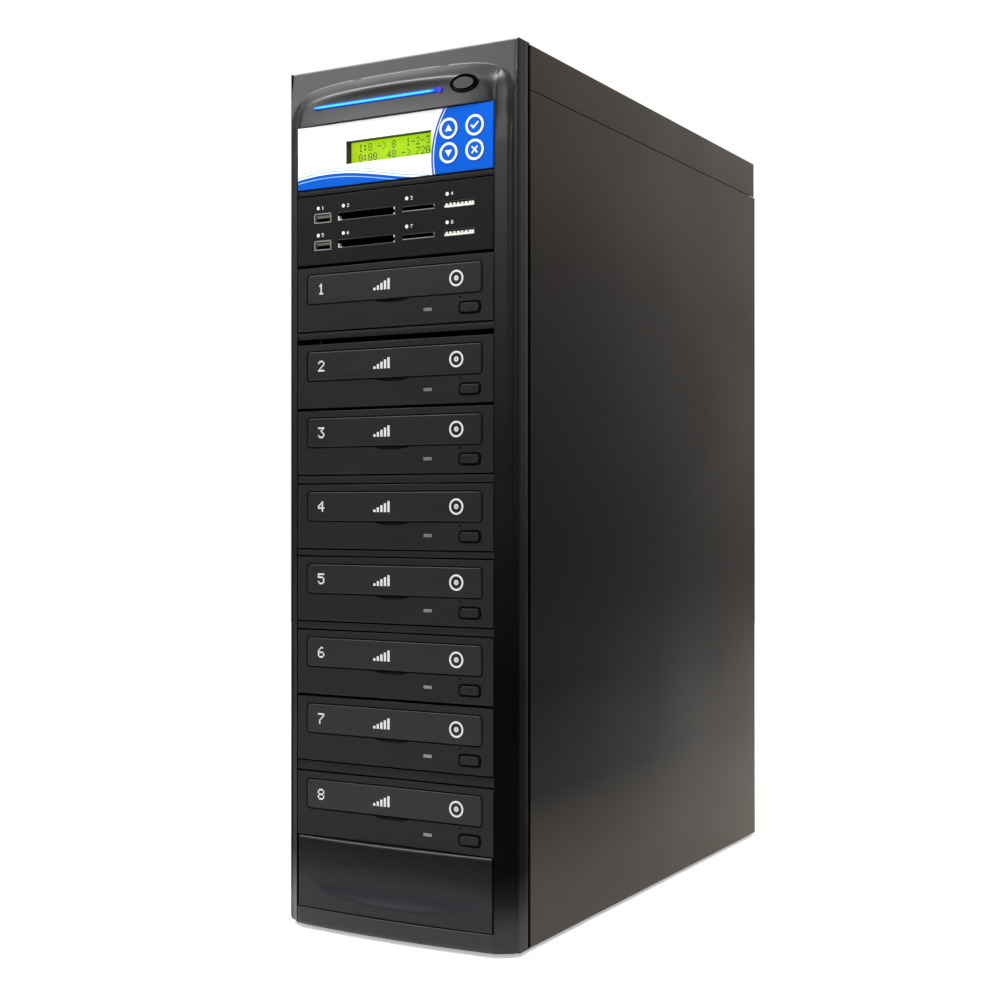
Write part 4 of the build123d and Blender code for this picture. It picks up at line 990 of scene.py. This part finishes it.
# Card reader: dots and plain numbers over the slots, metal at the slots' edges, contact pins
print("card reader")
reader = {
    "rows": (14.6, 32.4), "columns": (-57.6, -37.6, 11.2, 41.2), "lift": 0.05,
    "dotRadius": 1.15, "dotRise": 6.6, "dotThickness": 0.08,
    "numberX": 3.0, "numberZ": 0.9, "numberPitch": 0.3,
    "plateDepth": 3.0, "pinColumns": (40.6, 43.4, 46.2, 49.0, 51.8, 54.6, 57.4, 59.4),
    "pinHalf": (0.75, 0.6), "pinDepth": 6.0, "pinBack": 0.45, "pinUp": 0.2,
}
# metal at the slots: left, right, low and high edge from the row's middle, and how deep it lies
slotMetal = {
    "cardGuides": (guideMetal, [
        (-42.0, -41.3, -2.4, 0.2, 0.5), (-42.0, -39.2, -2.5, -2.0, 0.6), (1.0, 1.7, 0.9, 2.2, 0.5),
        (1.0, 1.7, -2.2, -1.4, 0.5), (38.8, 60.4, -1.75, -0.35, 0.6),
    ]),
    "socketRims": (litSleeveNickel, [
        (-61.0, -47.8, -3.0, -2.6, 0.35), (-61.0, -60.6, -2.4, 3.0, 0.35), (-48.2, -47.8, -2.4, 3.0, 0.35),
        (-61.0, -47.8, 2.6, 3.0, 0.35), (7.6, 31.4, -1.4, -1.1, 0.5), (30.9, 31.4, 0.1, 1.3, 0.5),
    ]),
}
readerLow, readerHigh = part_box("card_reader_panel")
frontY, topZ = readerLow.y / mm, readerHigh.z / mm
markY = frontY - reader["lift"]
marks = [(x, markY, topZ - row + reader["dotRise"]) for row in reader["rows"] for x in reader["columns"]]
disc = flatPlate(ellipse(0, 0, reader["dotRadius"], reader["dotRadius"], 24), 0, reader["dotThickness"])
scattered("readerMarks", marks, disc, markWhite, "casing")
for name, (material, plates) in slotMetal.items():
    shapes = []
    for row in reader["rows"]:
        z = topZ - row
        for x0, x1, z0, z1, deep in plates:
            outline = rectangle(x0, z + z0, x1, z + z1)
            shapes.append(flatPlate(outline, frontY + deep, reader["plateDepth"]))
    newPiece(name, joined(shapes), material, "casing")
numerals = []
for index, (x, _, z) in enumerate(marks):
    for across, down in glyphCells(str(index + 1)):
        numberX = x + reader["numberX"] + across * reader["numberPitch"]
        numerals.append((numberX, markY, z + reader["numberZ"] - down * reader["numberPitch"]))
numeralShape = squareDot(reader["numberPitch"])
scattered("readerNumerals", numerals, numeralShape, markWhite, "casing")
pinX, pinZ = reader["pinHalf"]
pinShape = flatPlate(rectangle(-pinX, -pinZ, pinX, pinZ), 0, reader["pinDepth"])
pinY = frontY + reader["pinBack"]
pins = [(x, pinY, topZ - row + reader["pinUp"]) for row in reader["rows"] for x in reader["pinColumns"]]
scattered("contactPins", pins, pinShape, guideMetal, "casing")

# Tray fronts: a plain number, five plain rising bars and a plain ring
print("tray marks")
trayMarks = {
    "lift": 0.05, "thickness": 0.08, "numberX": -57.0, "pitch": 1.0,
    "ringX": 48.0, "ringOuter": 5.1, "ringInner": 3.9, "hub": 1.6, "hubInner": 0.5,
    "steps": 5, "stepX": -14.0, "stepPitch": 2.7, "stepWidth": 1.7, "stepLow": 1.6, "stepRise": 1.35,
}
for number in driveNumbers:
    face = faceOf(f"tray_front_{number}")
    faceY, middleZ = face["front"] - trayMarks["lift"], face["z"]
    thickness, ringX = trayMarks["thickness"], trayMarks["ringX"]
    spots = []
    for across, down in glyphCells(str(number)):
        x = trayMarks["numberX"] + across * trayMarks["pitch"]
        spots.append((x, faceY, middleZ + (3 - down) * trayMarks["pitch"]))
    cell = squareDot(trayMarks["pitch"])
    scattered(f"trayNumber{number}", spots, cell, markGrey, f"tray_{number}")
    shapes = [
        ringPlate(ringX, middleZ, trayMarks["ringOuter"], trayMarks["ringInner"], faceY, thickness),
        ringPlate(ringX, middleZ, trayMarks["hub"], trayMarks["hubInner"], faceY, thickness, 32),
    ]
    bottom = middleZ - (trayMarks["stepLow"] + trayMarks["stepRise"] * (trayMarks["steps"] - 1)) / 2
    for step in range(trayMarks["steps"]):
        x = trayMarks["stepX"] + step * trayMarks["stepPitch"]
        top = bottom + trayMarks["stepLow"] + step * trayMarks["stepRise"]
        shapes.append(flatPlate(rectangle(x, bottom, x + trayMarks["stepWidth"], top), faceY, thickness))
    newPiece(f"trayRing{number}", joined(shapes), markGrey, f"tray_{number}")

# Painted shade: dark line round each eject button and each tray front, for the shaded gap. Each: gap to the
# piece, line's width, corner radius
print("gap lines")
gapLines = {"eject_button": (0.1, 1.35, 1.6), "tray_front": (0.12, 0.75, 2.2)}
gapPlate = {"lift": 0.05, "thickness": 0.1, "cornerSteps": 6}


def roundedOutline(x, z, halfX, halfZ, radius):
    points = []
    for quarter, (sideX, sideZ) in enumerate(((1, 1), (-1, 1), (-1, -1), (1, -1))):
        cornerX, cornerZ = x + sideX * (halfX - radius), z + sideZ * (halfZ - radius)
        for i in range(gapPlate["cornerSteps"] + 1):
            a = math.pi / 2 * (quarter + i / gapPlate["cornerSteps"])
            points.append((cornerX + radius * math.cos(a), cornerZ + radius * math.sin(a)))
    return points


shapes = []
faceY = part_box("drive_bezels")[0].y / mm - gapPlate["lift"]
for number in driveNumbers:
    for name, (gap, line, radius) in gapLines.items():
        face = faceOf(f"{name}_{number}")
        halfX, halfZ = face["halfX"] + gap, face["halfZ"] + gap
        outer = roundedOutline(face["x"], face["z"], halfX + line, halfZ + line, radius + line)
        inner = roundedOutline(face["x"], face["z"], halfX, halfZ, radius)
        shapes.append(framePlate(outer, inner, faceY, gapPlate["thickness"]))
newPiece("gapLines", joined(shapes), gapShadeBlack, "casing")

# Stage: pale floor, white behind it, soft lights, the photo's camera (metres and degrees)
print("stage")
stage = {
    "radius": 2.6, "steps": 96, "glowFrom": 0.15, "glowTo": 1.6,
    "camera": (0.5528, -1.0511, 0.2783), "yaw": 29.35, "pitch": 0.19, "lens": 56.65, "shift": -0.0035,
}
floorMesh = bpy.data.meshes.new("floor")
floorEdge = [(x, y, 0.0) for x, y in ellipse(0.0, 0.0, stage["radius"], stage["radius"], stage["steps"])]
floorMesh.from_pydata(floorEdge, [], [list(range(stage["steps"]))])
floor = linked("floor", floorMesh)
# matt white board that glows for the camera alone, more so far from the tower
floorPaint, floorTree, floorShader = newMaterial("paleFloor")
floorCoords, _ = place(floorTree)
floorNoise = addNode(floorTree, "TexNoise", {"Vector": floorCoords, "Scale": 3.0, "Detail": 3.0})
floorTone = addNode(floorTree, "ValToRGB", {"Fac": floorNoise}, [(0.3, 0.86), (0.7, 0.88)])
seen = addNode(floorTree, "LightPath").outputs["Is Camera Ray"]
away = addNode(floorTree, "VectorMath", {0: floorCoords}, operation="LENGTH").outputs["Value"]
lift = addNode(floorTree, "MapRange", {
    "Value": away, "From Min": stage["glowFrom"], "From Max": stage["glowTo"], "To Min": 0.42, "To Max": 1.0,
})
glow = addNode(floorTree, "Math", {0: seen, 1: lift}, operation="MULTIPLY")
setInputs(floorTree, floorShader, {
    "Base Color": floorTone, "Roughness": 0.75, "Emission Color": grey(1.0),
    "Emission Strength": glow,
})
floorMesh.materials.append(floorPaint)

# the tower sees a room that is darker low down, the camera sees white
world = bpy.data.worlds.new("studio")
bpy.context.scene.world = world
world.use_nodes = True
sky = world.node_tree
generated = addNode(sky, "TexCoord").outputs["Generated"]
direction = addNode(sky, "SeparateXYZ", {0: generated}).outputs["Z"]
upShare = addNode(sky, "MapRange", {"Value": direction, "From Min": -0.2, "From Max": 1.0})
room = addNode(sky, "ValToRGB", {"Fac": upShare}, [
    (0.0, 0.1), (0.17, 0.1), (0.3, 0.22), (0.6, 0.45), (1.0, 0.9),
])
seen = addNode(sky, "LightPath").outputs["Is Camera Ray"]
backdrop = addNode(sky, "Mix", {0: seen, 6: room, 7: grey(1.0)}, data_type="RGBA")
setInputs(sky, sky.nodes["Background"], {"Color": backdrop.outputs[2], "Strength": 1.0})


def softLight(name, position, aim, size, power):
    data = bpy.data.lights.new(name, "AREA")
    data.shape = "RECTANGLE"
    data.size, data.size_y = size
    data.energy = power
    light = linked(name, data)
    light.location = position
    light.rotation_euler = (Vector(aim) - Vector(position)).to_track_quat("-Z", "Y").to_euler()
    return light


lamps = [
    softLight("fillLight", (-1.5, -2.0, 1.5), (0, 0, 0.3), (1.1, 1.1), 16),
    softLight("keyLight", (-1.2, -1.0, 2.3), (0, -0.1, 0.4), (1.0, 1.0), 45),
    softLight("topLight", (0.5, -0.6, 2.1), (0.05, -0.2, 0.5), (0.6, 0.6), 20),
    softLight("frontRightLight", (1.55, -1.8, 1.45), (0, -0.2, 0.5), (0.8, 0.8), 9),
    softLight("backRightLight", (1.0, 2.6, 0.9), (0.05, 0.1, 0.3), (0.8, 1.5), 1.8),
]

camera = linked("camera", bpy.data.cameras.new("camera"))
camera.location = stage["camera"]
yaw, pitch = math.radians(stage["yaw"]), math.radians(stage["pitch"])
look = Vector((-math.sin(yaw) * math.cos(pitch), math.cos(yaw) * math.cos(pitch), math.sin(pitch)))
camera.rotation_euler = look.to_track_quat("-Z", "Y").to_euler()
camera.data.sensor_width = 36
camera.data.lens = stage["lens"]
camera.data.shift_x = stage["shift"]
bpy.context.scene.camera = camera
bpy.context.scene.view_settings.view_transform = "Standard"
